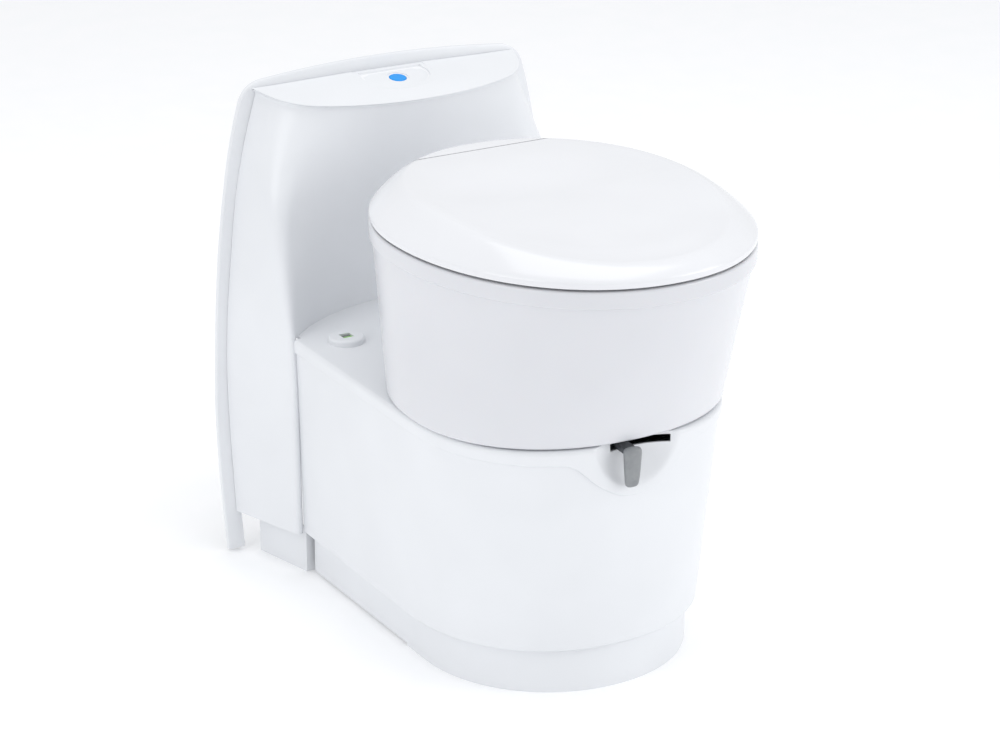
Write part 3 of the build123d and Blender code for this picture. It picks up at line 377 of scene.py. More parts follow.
class Stuff(Enum):
    """Finishes found on the toilet, each named for its stock and how it was made."""

    # Polished moulded ABS: cool white, sharp highlights with a faint flow drift.
    GLOSS_ABS = Finish("gloss_moulded_abs", "#EAEBEE", "#E7E8EB", 0.20, ior=1.53, coat=0.25,
                       grain_mm=9.0, grain_depth=0.010, wave_mm=140.0)
    # Satin moulded ABS: a spark-eroded mould leaves a soft, broad highlight.
    SATIN_ABS = Finish("satin_moulded_abs", "#E8EAED", "#E5E7EA", 0.33, ior=1.53, coat=0.10,
                       grain_mm=1.4, grain_depth=0.012, wave_mm=120.0)
    # Moulded polypropylene: slightly waxy, light goes a little way in; its colour is set greyer than the housing's
    # white as painted shade for the bowl's rounded form.
    BOWL_PP_PAINTED_SHADE = Finish("polished_moulded_polypropylene_painted_shade", "#DCDDE1", "#D9DADE", 0.24, ior=1.49,
                     coat=0.15, grain_mm=7.0, grain_depth=0.010, wave_mm=160.0, subsurface=0.02)
    # Printed polycarbonate film: matt, barely darker than the housing.
    PANEL_FILM = Finish("matt_polycarbonate_film", "#EFF0F2", "#ECEDEF", 0.42, ior=1.58,
                        grain_mm=0.8, grain_depth=0.008)
    # Moulded ABS cap in blue: saturated, with a small bright highlight.
    BUTTON_ABS = Finish("blue_moulded_abs", "#00A0F4", "#0094EA", 0.45, ior=1.45,
                        grain_mm=3.0, grain_depth=0.004)
    # Glass-filled nylon: mid grey with the faint mottling of the fibres.
    HANDLE_NYLON = Finish("grey_glass_filled_nylon", "#8F9294", "#85888B", 0.34, ior=1.53,
                          grain_mm=0.9, grain_depth=0.03, wave_mm=9.0)
    # Clear acrylic window.
    LENS_ACRYLIC = Finish("clear_cast_acrylic", "#F4FAF4", "#EFF7EF", 0.05, ior=1.49,
                          opacity=0.12, grain_depth=0.001)
    # Gauge card: green ink on a matt plastic disc.
    DIAL_INK = Finish("green_printed_disc", "#86DC1C", "#79D214", 0.45, grain_mm=0.7,
                      grain_depth=0.01, wave_mm=8.0)
    # Nitrile lip seal: near black, dull.
    SEAL_NITRILE = Finish("black_moulded_nitrile", "#232426", "#1B1C1E", 0.62, ior=1.52,
                          grain_mm=0.8, grain_depth=0.03, wave_mm=12.0, sheen=0.1)
    # Thermoplastic rubber feet: translucent off-white.
    BUFFER_TPR = Finish("white_thermoplastic_rubber", "#D9DCDC", "#D1D5D5", 0.55,
                        grain_mm=0.9, grain_depth=0.02, subsurface=0.05)
    # Closed-cell foam strip: open-looking pores at its cut edges.
    FOAM_STRIP = Finish("grey_closed_cell_foam", "#5A5C5F", "#4A4C4F", 0.9, ior=1.45,
                        grain_mm=1.2, grain_depth=0.25, wave_mm=4.0)
    # Blow-moulded polyethylene: grey, slightly wavy wall with a coarse skin.
    TANK_PE = Finish("grey_blow_moulded_polyethylene", "#A2A8AD", "#989EA4", 0.45, ior=1.51,
                     grain_mm=3.2, grain_depth=0.06, wave_mm=45.0)
    # Dark moulded polypropylene of the valve and its covers.
    VALVE_PP = Finish("dark_moulded_polypropylene", "#56595E", "#4D5055", 0.42, ior=1.49,
                      grain_mm=1.1, grain_depth=0.03)
    # Machined acetal: off-white with turning marks round its axis.
    ACETAL = Finish("machined_acetal", "#DEDCD4", "#D5D3CA", 0.38, ior=1.48, grain_mm=0.6,
                    grain_depth=0.02, stretch=(6.0, 6.0, 1.0))
    # Zinc-plated steel screws and pins: bright with a fine drawn grain.
    ZINC_STEEL = Finish("zinc_plated_steel", "#C9CCCF", "#BBBFC3", 0.30, metallic=1.0,
                        grain_mm=0.5, grain_depth=0.01, wave_mm=6.0)
    # Drawn spring wire: brighter than the screws, streaked along its length.
    SPRING_WIRE = Finish("drawn_spring_steel", "#B9BBBE", "#A9ACAF", 0.25, metallic=1.0,
                         grain_mm=0.4, grain_depth=0.008, wave_mm=5.0)
    # Circuit board: green solder mask over glass cloth.
    SOLDER_MASK = Finish("green_solder_mask", "#1C6B3A", "#155A2F", 0.28, coat=0.4,
                         grain_mm=0.9, grain_depth=0.03, wave_mm=6.0)
    # Black moulded nylon of the electrical pieces and wheels.
    BLACK_NYLON = Finish("black_moulded_nylon", "#2A2B2D", "#222325", 0.45, ior=1.53,
                         grain_mm=1.0, grain_depth=0.03, wave_mm=14.0)
    # Flexible PVC water hose: clear grey, slick.
    HOSE_PVC = Finish("clear_flexible_pvc", "#C4CBD0", "#B8C0C6", 0.22, ior=1.52,
                      transmission=0.35, grain_mm=2.5, grain_depth=0.02)
    # PVC cable sheath: black, faintly wavy over the lay of its wires.
    SHEATH_PVC = Finish("black_pvc_sheath", "#1D1E20", "#161719", 0.5, ior=1.52,
                        grain_mm=2.0, grain_depth=0.05, wave_mm=10.0)


class Wardrobe:
    """Keeps one material for each finish and puts it on pieces."""

    def __init__(self) -> None:
        """Start with nothing made."""
        self.made: dict[Stuff, bpy.types.Material] = {}

    def dress(self, piece: bpy.types.Object, stuff: Stuff) -> bpy.types.Object:
        """Put a finish on every material slot of a piece.

        Args:
            piece: the object to dress.
            stuff: the finish it takes.

        Returns:
            The same object.
        """
        if stuff not in self.made:
            self.made[stuff] = stuff.value.build()
        if not piece.material_slots:
            piece.data.materials.append(self.made[stuff])
        for entry in piece.material_slots:
            entry.material = self.made[stuff]
        return piece


SLOT_STUFF: dict[str, Stuff] = {
    "white_housing": Stuff.SATIN_ABS, "white_bowl": Stuff.BOWL_PP_PAINTED_SHADE, "white_lid": Stuff.GLOSS_ABS,
    "panel_white": Stuff.PANEL_FILM, "handle_grey": Stuff.HANDLE_NYLON,
    "button_blue": Stuff.BUTTON_ABS, "gauge_lens": Stuff.LENS_ACRYLIC, "gauge_dial": Stuff.DIAL_INK,
    "seal_rubber": Stuff.SEAL_NITRILE, "buffer_rubber": Stuff.BUFFER_TPR,
    "foam_seal": Stuff.FOAM_STRIP, "tank_grey": Stuff.TANK_PE, "valve_plastic": Stuff.VALVE_PP,
    "acetal_white": Stuff.ACETAL, "screw_steel": Stuff.ZINC_STEEL, "spring_steel": Stuff.SPRING_WIRE,
    "board_green": Stuff.SOLDER_MASK, "black_plastic": Stuff.BLACK_NYLON,
    "hose_clear": Stuff.HOSE_PVC, "wire_black": Stuff.SHEATH_PVC,
}


@dataclass
class SubAssembly:
    """Common ground of the toilet's groups of pieces."""

    wardrobe: Wardrobe
    pieces: list[bpy.types.Object] = field(default_factory=list)

    def add(self, piece: bpy.types.Object, body: str, slot: str,
            nodes: Sequence[str] = ()) -> bpy.types.Object:
        """Dress a new piece, hang it on its body and record what it stands for.

        Args:
            piece: the object.
            body: the body it moves with.
            slot: the record's material slot it takes its finish from.
            nodes: the CAD nodes it replaces.

        Returns:
            The same object.
        """
        self.wardrobe.dress(piece, SLOT_STUFF[slot])
        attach(piece, body)
        if nodes:
            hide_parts(*nodes)
        self.pieces.append(piece)
        return piece


# ---------------------------------------------------------------- base housing and deck
@dataclass
class BaseHousing(SubAssembly):
    """Tapered D-shaped housing with its deck cover, tongue and finger dish."""

    skirt: float = 51.0
    deck: float = 286.0
    band: float = 16.0
    rear: float = 202.5
    proud: float = 2.0
    wall: float = 3.2
    corner: float = 5.0
    swivel_y: float = -78.5
    swivel_r: float = 100.0
    dish_r: float = 92.5
    dish_depth: float = 16.0
    lip: float = 1.6
    slot_left: float = -25.0
    slot_right: float = 44.0
    slot_low: float = 274.4
    slot_high: float = 283.2
    tongue: tuple[tuple[float, float], ...] = (
        (0.0, 225.0), (14.0, 226.4), (24.0, 229.6), (33.0, 234.4), (47.0, 243.6), (58.0, 254.2),
        (68.0, 263.6), (78.0, 268.6), (90.0, 270.0), (400.0, 270.0))

    def outline(self, share: float, height: float, out: float = 0.0) -> tuple[float, float]:
        """Point of the housing's outline.

        Args:
            share: -1 at the left rear corner, 0 at the nose and 1 at the right rear corner.
            height: height above the floor.
            out: distance to stand proud.

        Returns:
            X and Y.
        """
        t = (height - self.skirt) / (self.deck - self.skirt)
        half = 164.5 + 6.5 * t + out
        rear_half = 161.5 + 6.0 * t + out
        front = -217.0 - 18.0 * t - out
        shoulder = -40.0 - 16.0 * t
        power = 2.2 + 0.3 * t
        nose = 0.62
        if abs(share) <= nose:
            angle = math.pi / 2 * share / nose
            x = half * power_of(math.sin(angle), 2 / power)
            return x, shoulder + (front - shoulder) * abs(math.cos(angle)) ** (2 / power)
        along = (abs(share) - nose) / (1 - nose)
        x = half + (rear_half - half) * along
        return math.copysign(x, share), shoulder + (self.rear - shoulder) * along

    def shares(self) -> list[float]:
        """Places round the outline, closer together at the nose."""
        return [math.copysign(abs(i / 150) ** 1.12, i) if i else 0.0 for i in range(-150, 151)]

    def carve(self, x: float, y: float, z: float) -> float:
        """Push a point of the nose back onto the finger dish where the dish is deeper."""
        centre = self.outline(0, self.deck)[1] + self.dish_depth - self.dish_r
        left = self.dish_r ** 2 - x * x - (z - self.deck + 1) ** 2
        if left <= 0:
            return y
        depth = centre + math.sqrt(left) - y
        soft = 1.6
        return y + 0.5 * (depth + math.sqrt(depth * depth + soft * soft)) if depth > -6 * soft else y

    def low_edge(self, x: float) -> float:
        """Height of the band's lower edge, which dips to the tongue at the front."""
        return eased(self.tongue, abs(x))

    def build_deck(self) -> None:
        """Deck plate, rounded edge, band, tongue with its dish and the handle's slot."""
        shares = self.shares()
        rows: list[Ring] = []
        for step in range(6):
            a = math.pi / 2 * step / 5
            inset = self.corner * (1 - math.sin(a))
            drop = self.corner * (1 - math.cos(a))
            rows.append(self.row(shares, self.deck - drop, self.proud - inset))
        for height in (279.0, 276.5, self.slot_low):
            rows.append(self.row(shares, height, self.proud))
        steps = 26
        for k in range(1, steps + 1):
            rows.append(self.skirt_row(shares, k / steps, 0.0, 0.0))
        for k in range(1, 5):
            a = math.pi / 2 * k / 4
            rows.append(self.skirt_row(shares, 1.0, self.lip * math.sin(a), self.lip * (1 - math.cos(a))))
        bm = bmesh.new()
        made = skin_rings(bm, rows, closed=False)
        gap = [f for f in bm.faces if self.slot_left < f.calc_center_median().x < self.slot_right
               and self.slot_low < f.calc_center_median().z < self.slot_high
               and f.calc_center_median().y < -150]
        bmesh.ops.delete(bm, geom=gap, context="FACES")
        back = [bm.verts.new((x, 290.0, self.deck)) for x in (160.0, -160.0)]
        corner_right = bm.verts.new((160.0, self.rear, self.deck))
        corner_left = bm.verts.new((-160.0, self.rear, self.deck))
        hole = [bm.verts.new((self.swivel_r * math.cos(a), self.swivel_y + self.swivel_r * math.sin(a),
                              self.deck)) for a in [2 * math.pi * i / 96 for i in range(96)]]
        fill_loops(bm, [[*made[0], corner_right, *back, corner_left], hole])
        piece = thicken(new_object("deck_cover_moulding", bm), self.wall)
        self.add(keep_creases(piece, 40), "housing", "white_housing", ["deck_cover"])

    def skirt_row(self, shares: Sequence[float], share: float, below: float, tuck: float) -> Ring:
        """Row of the band between the slot's sill and the band's lower edge, or round that edge.

        Args:
            shares: places round the outline.
            share: 0 at the sill and 1 at the lower edge.
            below: how far under that the row lies.
            tuck: how far it is drawn in.

        Returns:
            The row's points.
        """
        ring = []
        for s in shares:
            low = self.low_edge(self.outline(s, self.slot_low, self.proud)[0]) + self.lip
            z = self.slot_low + (low - self.slot_low) * share - below
            px, py = self.outline(s, z, self.proud - tuck)
            ring.append((px, self.dished(px, py, z), z))
        return ring

    def row(self, shares: Sequence[float], height: float, out: float) -> Ring:
        """One level row of the deck's skin, carved by the finger dish."""
        ring = []
        for s in shares:
            x, y = self.outline(s, height, out)
            ring.append((x, self.dished(x, y, height), height))
        return ring

    def dished(self, x: float, y: float, z: float) -> float:
        """Y of a skin point with the dish taken into account, at the nose only."""
        return self.carve(x, y, z) if y < -150 and abs(x) < 75 else y

    def build_base(self) -> None:
        """Side skin of the housing, from the skirt up to the band and round the tongue."""
        shares = self.shares()
        rows: list[Ring] = [[(*self.outline(s, self.skirt + 3, -3.0), self.skirt) for s in shares],
                            [(*self.outline(s, self.skirt, -0.9), self.skirt + 0.9) for s in shares]]
        steps = 40
        for k in range(steps + 1):
            ring = []
            for s in shares:
                top = self.low_edge(self.outline(s, 260.0)[0]) + 1.5
                z = self.skirt + 3 + (top - self.skirt - 3) * k / steps
                ring.append((*self.outline(s, z), z))
            rows.append(ring)
        bm = bmesh.new()
        skin_rings(bm, rows, closed=False)
        piece = thicken(new_object("base_housing_moulding", bm), self.wall)
        self.add(keep_creases(piece, 40), "housing", "white_housing", ["base_shell"])

    def build(self) -> None:
        """Make both mouldings."""
        self.build_deck()
        self.build_base()


# ---------------------------------------------------------------- console
@dataclass
class Console(SubAssembly):
    """Console behind the bowl, with its sloping top and the flange against the wall."""

    wall: float = 3.2
    flange_front: float = 298.0
    flange_back: float = 304.0
    foot: float = 51.0
    deck: float = 286.0
    ledge_y: float = 213.5
    ledge_z: float = 537.5
    slope: float = 0.16
    side_steps: int = 10
    corner_steps: int = 10
    front_steps: int = 44
    edge: float = 8.0
    at_flange: tuple[tuple[float, float], ...] = (
        (51, 197.5), (142, 202), (216, 204), (287, 201.5), (357, 195), (426, 187), (483, 176),
        (524, 165), (575, 150))
    at_corner: tuple[tuple[float, float], ...] = (
        (51, 167.5), (286, 171), (400, 174), (436, 174.5), (470, 166.5), (500, 156), (530, 145.5),
        (575, 129))
    corner_y: tuple[tuple[float, float], ...] = (
        (51, 202.5), (286, 203), (400, 217), (436, 223.5), (470, 234), (500, 240.5), (530, 247),
        (575, 254))
    middle_y: tuple[tuple[float, float], ...] = (
        (51, 279), (286, 279), (350, 268), (420, 250), (480, 232), (530, 215.5), (575, 203))
    rounding: tuple[tuple[float, float], ...] = (
        (51, 3), (286, 4), (330, 10), (420, 22), (480, 30), (530, 30), (575, 30))

    def half_section(self, height: float) -> Ring:
        """Right half of the outline at one height, from the flange round to the middle."""
        a = eased(self.at_flange, height)
        b = eased(self.at_corner, height)
        c = eased(self.corner_y, height)
        m = eased(self.middle_y, height)
        reach = eased(self.rounding, height)
        bow = m - c

        def front(x: float) -> float:
            """Y of the front wall at x, on a circular arc through corner and middle."""
            if abs(bow) < 0.5:
                return m - bow * (x / b) ** 2
            radius = (b * b + bow * bow) / (2 * abs(bow))
            return m - math.copysign(radius - math.sqrt(max(0.0, radius * radius - x * x)), bow)

        side = Vector((a - b, self.flange_front - c))
        side.normalize()
        start = Vector((b, c)) + side * reach
        near = b - reach * 0.94
        end = Vector((near, front(near)))
        knee = Vector((b, c))
        points = []
        for i in range(self.side_steps):
            t = i / self.side_steps
            points.append((a + (start.x - a) * t, self.flange_front + (start.y - self.flange_front) * t))
        for i in range(self.corner_steps + 1):
            t = i / self.corner_steps
            p = start * (1 - t) ** 2 + knee * 2 * t * (1 - t) + end * t * t
            points.append((p.x, p.y))
        for i in range(1, self.front_steps // 2 + 1):
            x = near * (1 - i / (self.front_steps // 2))
            points.append((x, front(x)))
        return [(x, y, height) for x, y in points]

    def column_top(self, index: int) -> float:
        """Height where one column of the skin meets the sloping top."""
        z = self.ledge_z + 6
        for _ in range(12):
            y = self.half_section(z)[index][1]
            z = self.ledge_z + self.slope * (y - self.ledge_y)
        return z

    def build_skin(self) -> None:
        """Walls and sloping top with the groove round the control panel."""
        half_count = self.side_steps + self.corner_steps + 1 + self.front_steps // 2
        edge = self.edge
        tops = [self.column_top(i) - edge for i in range(half_count)]
        levels = [self.foot + (self.deck - self.foot) * k / 12 for k in range(12)]
        above = 44
        cache = {round(z, 3): self.half_section(z) for z in levels}
        rows: list[Ring] = []
        for z in levels:
            rows.append(self.whole(cache[round(z, 3)]))
        for k in range(above + 1):
            half = []
            for i in range(half_count):
                z = self.deck + (tops[i] - self.deck) * k / above
                half.append(self.half_section(z)[i])
            rows.append(self.whole(half))
        rows.extend(self.rolled_edge(rows[-1], edge))
        bm = bmesh.new()
        made = skin_rings(bm, rows, closed=False)
        front_first = self.side_steps + self.corner_steps
        for k in range(len(levels)):
            for i in range(front_first, len(rows[0]) - 1 - front_first):
                face = bm.faces.get((made[k][i], made[k][i + 1], made[k + 1][i + 1], made[k + 1][i]))
                if face:
                    bm.faces.remove(face)
        groove = ControlPanel.outline_points(6.0)
        inner = ControlPanel.outline_points(3.6)
        deep = [[bm.verts.new(self.on_ledge(x, y, -2.4)) for x, y in loop] for loop in (groove, inner)]
        flush = [[bm.verts.new(self.on_ledge(x, y, 0.0)) for x, y in loop] for loop in (groove, inner)]
        pocket = [[bm.verts.new(self.on_ledge(x, y, z)) for x, y in ControlPanel.outline_points(0.4)]
                  for z in (0.0, -1.6)]
        bore = [bm.verts.new(self.on_ledge(x, y, -1.6)) for x, y in ControlPanel.bore_points(12.6)]
        rim = list(made[-1])
        fill_loops(bm, [rim, flush[0]])
        for low, high in ((flush[0], deep[0]), (deep[0], deep[1]), (deep[1], flush[1]),
                          (pocket[0], pocket[1])):
            for i in range(len(low)):
                j = (i + 1) % len(low)
                bm.faces.new((low[i], low[j], high[j], high[i]))
        fill_loops(bm, [flush[1], pocket[0]])
        fill_loops(bm, [pocket[1], bore])
        loose = [v for v in bm.verts if not v.link_faces]
        bmesh.ops.delete(bm, geom=loose, context="VERTS")
        skin = thicken(new_object("console_moulding", bm), self.wall)
        self.add(keep_creases(skin, 36), "housing", "white_housing", ["console_shell"])

    def whole(self, half: Ring) -> Ring:
        """Mirror a half section to the whole one, from the right flange to the left."""
        return [*half, *[(-x, y, z) for x, y, z in reversed(half[:-1])]]

    def rolled_edge(self, top: Ring, edge: float) -> list[Ring]:
        """Rounded rows from the walls over to the sloping top."""
        rows = []
        count = len(top)
        steps = 9
        for k in range(1, steps + 1):
            a = math.pi / 2 * k / steps
            row = []
            for i, (x, y, z) in enumerate(top):
                before, after = top[max(0, i - 1)], top[min(count - 1, i + 1)]
                along = Vector((after[0] - before[0], after[1] - before[1]))
                along.normalize()
                inward = Vector((-along.y, along.x))
                shift = inward * edge * (1 - math.cos(a))
                py = min(y + shift.y, self.flange_front)
                flat = self.ledge_z + self.slope * (py - self.ledge_y)
                rise = z + edge * math.sin(a)
                blend = k / steps
                row.append((x + shift.x, py, rise * (1 - blend) + flat * blend))
            rows.append(row)
        return rows

    def on_ledge(self, x: float, along: float, up: float) -> Point:
        """Point on the sloping top, from the button's centre."""
        norm = math.hypot(1, self.slope)
        y = ControlPanel.button_y + (along - self.slope * up) / norm
        z = self.ledge_z + self.slope * (ControlPanel.button_y - self.ledge_y)
        return (x, y, z + (self.slope * along + up) / norm)

    def flange_outline(self, inset: float) -> list[tuple[float, float]]:
        """Barrel-sided outline with round top corners, as X and Z."""
        sides = ((4, 210.5), (93, 217), (175, 220), (228, 219), (311, 215), (381, 209), (461, 198),
                 (505, 189), (530, 182.5), (566, 171))
        corner, top_corner = 24.0, 548.0
        right = []
        heights = [4 + (530 - 4) * i / 40 for i in range(41)]
        for z in heights:
            right.append((eased(sides, z) - inset, z))
        start, knee = Vector((right[-1][0], 530.0)), Vector((eased(sides, top_corner) - inset, 556.0 - inset))
        end = Vector((150.0 - inset * 0.5, 558.0 - inset))
        for i in range(1, 13):
            t = i / 12
            p = start * (1 - t) ** 2 + knee * 2 * t * (1 - t) + end * t * t
            right.append((p.x, p.y))
        for i in range(1, 17):
            x = end.x * (1 - i / 16)
            right.append((x, 566.0 - inset - 8.0 * (x / 150.0) ** 2))
        assert corner > 0
        return [*right, *[(-x, z) for x, z in reversed(right[:-1])]]

    def build_flange(self) -> None:
        """Flat band round the console's back."""
        bm = bmesh.new()
        outer = self.flange_outline(0.0)
        inner = self.flange_outline(20.0)
        inner[0] = (inner[0][0], 4.0)
        inner[-1] = (inner[-1][0], 4.0)
        soft = 1.6
        rows = [
            [(x, self.flange_back, z) for x, z in inner],
            [(x, self.flange_back, z) for x, z in outer],
            [(x, self.flange_front + soft, z) for x, z in outer],
            [(x, self.flange_front + 0.45 * soft, z) for x, z in self.flange_outline(0.15 * soft)],
            [(x, self.flange_front, z) for x, z in self.flange_outline(soft)],
            [(x, self.flange_front, z) for x, z in inner],
        ]
        skin_rings(bm, rows, closed=False, wrap=True)
        boundary = [e for e in bm.edges if len(e.link_faces) == 1]
        bmesh.ops.holes_fill(bm, edges=boundary, sides=0)
        piece = new_object("wall_flange", bm)
        self.add(keep_creases(piece, 40), "housing", "white_housing")

    def build(self) -> None:
        """Make the console's skin and its flange."""
        self.build_skin()
        self.build_flange()


@dataclass
class ControlPanel(SubAssembly):
    """Film panel in the sloping top, where the flush button sits."""

    button_y = 266.6
    half: float = 43.0

    @staticmethod
    def outline_points(margin: float) -> list[tuple[float, float]]:
        """Flat-backed half-oval outline round the button, grown by a margin."""
        half, nose, rear = 43.0 + margin, 25.0 + 8.0 + margin, 22.0 + margin
        points = []
        for i in range(49):
            a = math.pi * i / 48 - math.pi / 2
            points.append((half * power_of(math.sin(a), 2 / 2.2), 8 - nose * abs(math.cos(a)) ** (2 / 2.2)))
        points.extend([(half - 0.8, 14.0), (half - 3.0, rear), (3.0 - half, rear), (0.8 - half, 14.0)])
        return points

    @staticmethod
    def bore_points(radius: float) -> list[tuple[float, float]]:
        """Circle round the button's centre."""
        return [(radius * math.cos(2 * math.pi * i / 48), radius * math.sin(2 * math.pi * i / 48))
                for i in range(48)]


# ---------------------------------------------------------------- bowl
@dataclass
class Bowl(SubAssembly):
    """Swivelling bowl: outer shell, rim band, pan and outlet."""

    rim: Egg = Egg(189.2, -75.5, 231.0, 207.3, 2.09)
    foot: Egg = Egg(176.0, -78.5, 159.0, 176.0, 2.2)
    foot_z: float = 287.5
    rim_z: float = 475.0
    band: float = 18.0
    tuck: float = 3.0
    wall: float = 3.2
    swivel_y: float = -78.5
    outlet_r: float = 45.0
    outlet_low: float = 251.5

    def side_ring(self, height: float, inset: float) -> Ring:
        """Ring of the bowl's side, between its foot and the band."""
        low = self.foot_z + 4
        t = min(1.0, max(0.0, (height - low) / (self.rim_z - self.band - low)))
        a, b = self.foot.ring(height, inset), self.rim.ring(height, self.tuck + inset)
        return [(p[0] + (q[0] - p[0]) * t, p[1] + (q[1] - p[1]) * t, height) for p, q in zip(a, b)]

    def build_shell(self) -> None:
        """Outer shell with a rounded foot and the swivel hub under it."""
        bm = bmesh.new()
        low, high = self.foot_z, self.rim_z - self.band + 1.0
        rings = [self.side_ring(low, 40.0), self.side_ring(low, 5.0)]
        for k in range(1, 7):
            a = math.pi / 2 * k / 6
            rings.append(self.side_ring(low + 5 * (1 - math.cos(a)), 5 * (1 - math.sin(a))))
        for k in range(1, 31):
            rings.append(self.side_ring(low + 5 + (high - low - 5) * k / 30, 0.0))
        rings.append(self.side_ring(high, self.wall))
        rings.append(self.side_ring(low + 10, self.wall))
        rings.append(self.side_ring(low + 4, self.wall + 4))
        rings.append(self.side_ring(low + self.wall, 40.0))
        made = skin_rings(bm, rings)
        hub, inner, depth = 96.0, 49.0, 11.7
        for radius_out, z, end in ((hub, low, made[0]), (hub, low + self.wall, made[-1])):
            circle = self.circle(bm, inner, z)
            fill_loops(bm, [end, circle])
            del radius_out
        loops = [e for e in bm.edges if len(e.link_faces) == 1]
        bmesh.ops.bridge_loops(bm, edges=loops)
        sleeve = [self.disc_ring(hub, low + 1), self.disc_ring(hub, low - depth),
                  self.disc_ring(hub - 6, low - depth), self.disc_ring(hub - 6, low + 1)]
        skin_rings(bm, sleeve, wrap=True)
        piece = new_object("bowl_moulding", bm)
        self.add(keep_creases(piece, 40), "bowl", "white_bowl", ["bowl_shell"])

    def circle(self, bm: bmesh.types.BMesh, radius: float, height: float) -> list[bmesh.types.BMVert]:
        """Ring of vertices round the swivel axis."""
        return [bm.verts.new(p) for p in self.disc_ring(radius, height, 96)]

    def disc_ring(self, radius: float, height: float, count: int = 96) -> Ring:
        """Points of a circle round the swivel axis."""
        steps = [2 * math.pi * i / count for i in range(count)]
        return [(radius * math.sin(a), self.swivel_y - radius * math.cos(a), height) for a in steps]

    def pan_egg(self, share: float) -> Egg:
        """Outline of the pan, from the outlet at 0 to the mouth at 1."""
        r = self.outlet_r
        return Egg(r + 73.0 * share, self.swivel_y - 16.5 * share, r + 103.0 * share, r + 83.0 * share)

    def build_pan(self) -> None:
        """Rim band, top plate, pan and outlet tube as one closed moulding."""
        top, low, plate = self.rim_z, self.rim_z - self.band, 4.0
        rings = [self.rim.ring(low, 2.9), self.rim.ring(low, 0.8), self.rim.ring(low + 0.8, 0.0)]
        rings.append(self.rim.ring(top - 3.0, 0.0))
        for k in range(1, 6):
            a = math.pi / 2 * k / 5
            rings.append(self.rim.ring(top - 3 + 3 * math.sin(a), 3 * (1 - math.cos(a))))
        mouth = self.pan_egg(1.0)
        rings.append(mouth.ring(top, -7.0))
        for k in range(1, 6):
            a = math.pi / 2 * k / 5
            rings.append(mouth.ring(top - 7 * (1 - math.cos(a)), -7 * (1 - math.sin(a))))
        depth = ((0.0, 1.0), (28.0, 0.965), (60.0, 0.90), (95.0, 0.78), (125.0, 0.58), (145.0, 0.36),
                 (160.0, 0.17), (175.0, 0.02))
        for k in range(1, 33):
            d = 7 + 168 * k / 32
            rings.append(self.pan_egg(eased(depth, d)).ring(top - d, 0.0))
        rings.append(self.pan_egg(0.0).ring(self.outlet_low, 0.0))
        rings.append(self.pan_egg(0.0).ring(self.outlet_low, -3.0))
        for k in range(32, 0, -1):
            d = 7 + 168 * k / 32
            rings.append(self.pan_egg(eased(depth, d)).ring(min(top - d, top - plate - 1), -3.0))
        rings.append(self.rim.ring(top - plate, 8.0))
        rings.append(self.rim.ring(top - plate - 1.0, 2.9))
        bm = bmesh.new()
        skin_rings(bm, rings, wrap=True)
        piece = new_object("rim_and_pan_moulding", bm)
        self.add(keep_creases(piece, 40), "bowl", "white_bowl", ["bowl_insert"])

    def build(self) -> None:
        """Make both mouldings."""
        self.build_shell()
        self.build_pan()


# ---------------------------------------------------------------- lid and seat
class Half(Enum):
    """The two pieces of the top that meet at the hinge line."""

    LID = "lid"
    COVER = "cover"


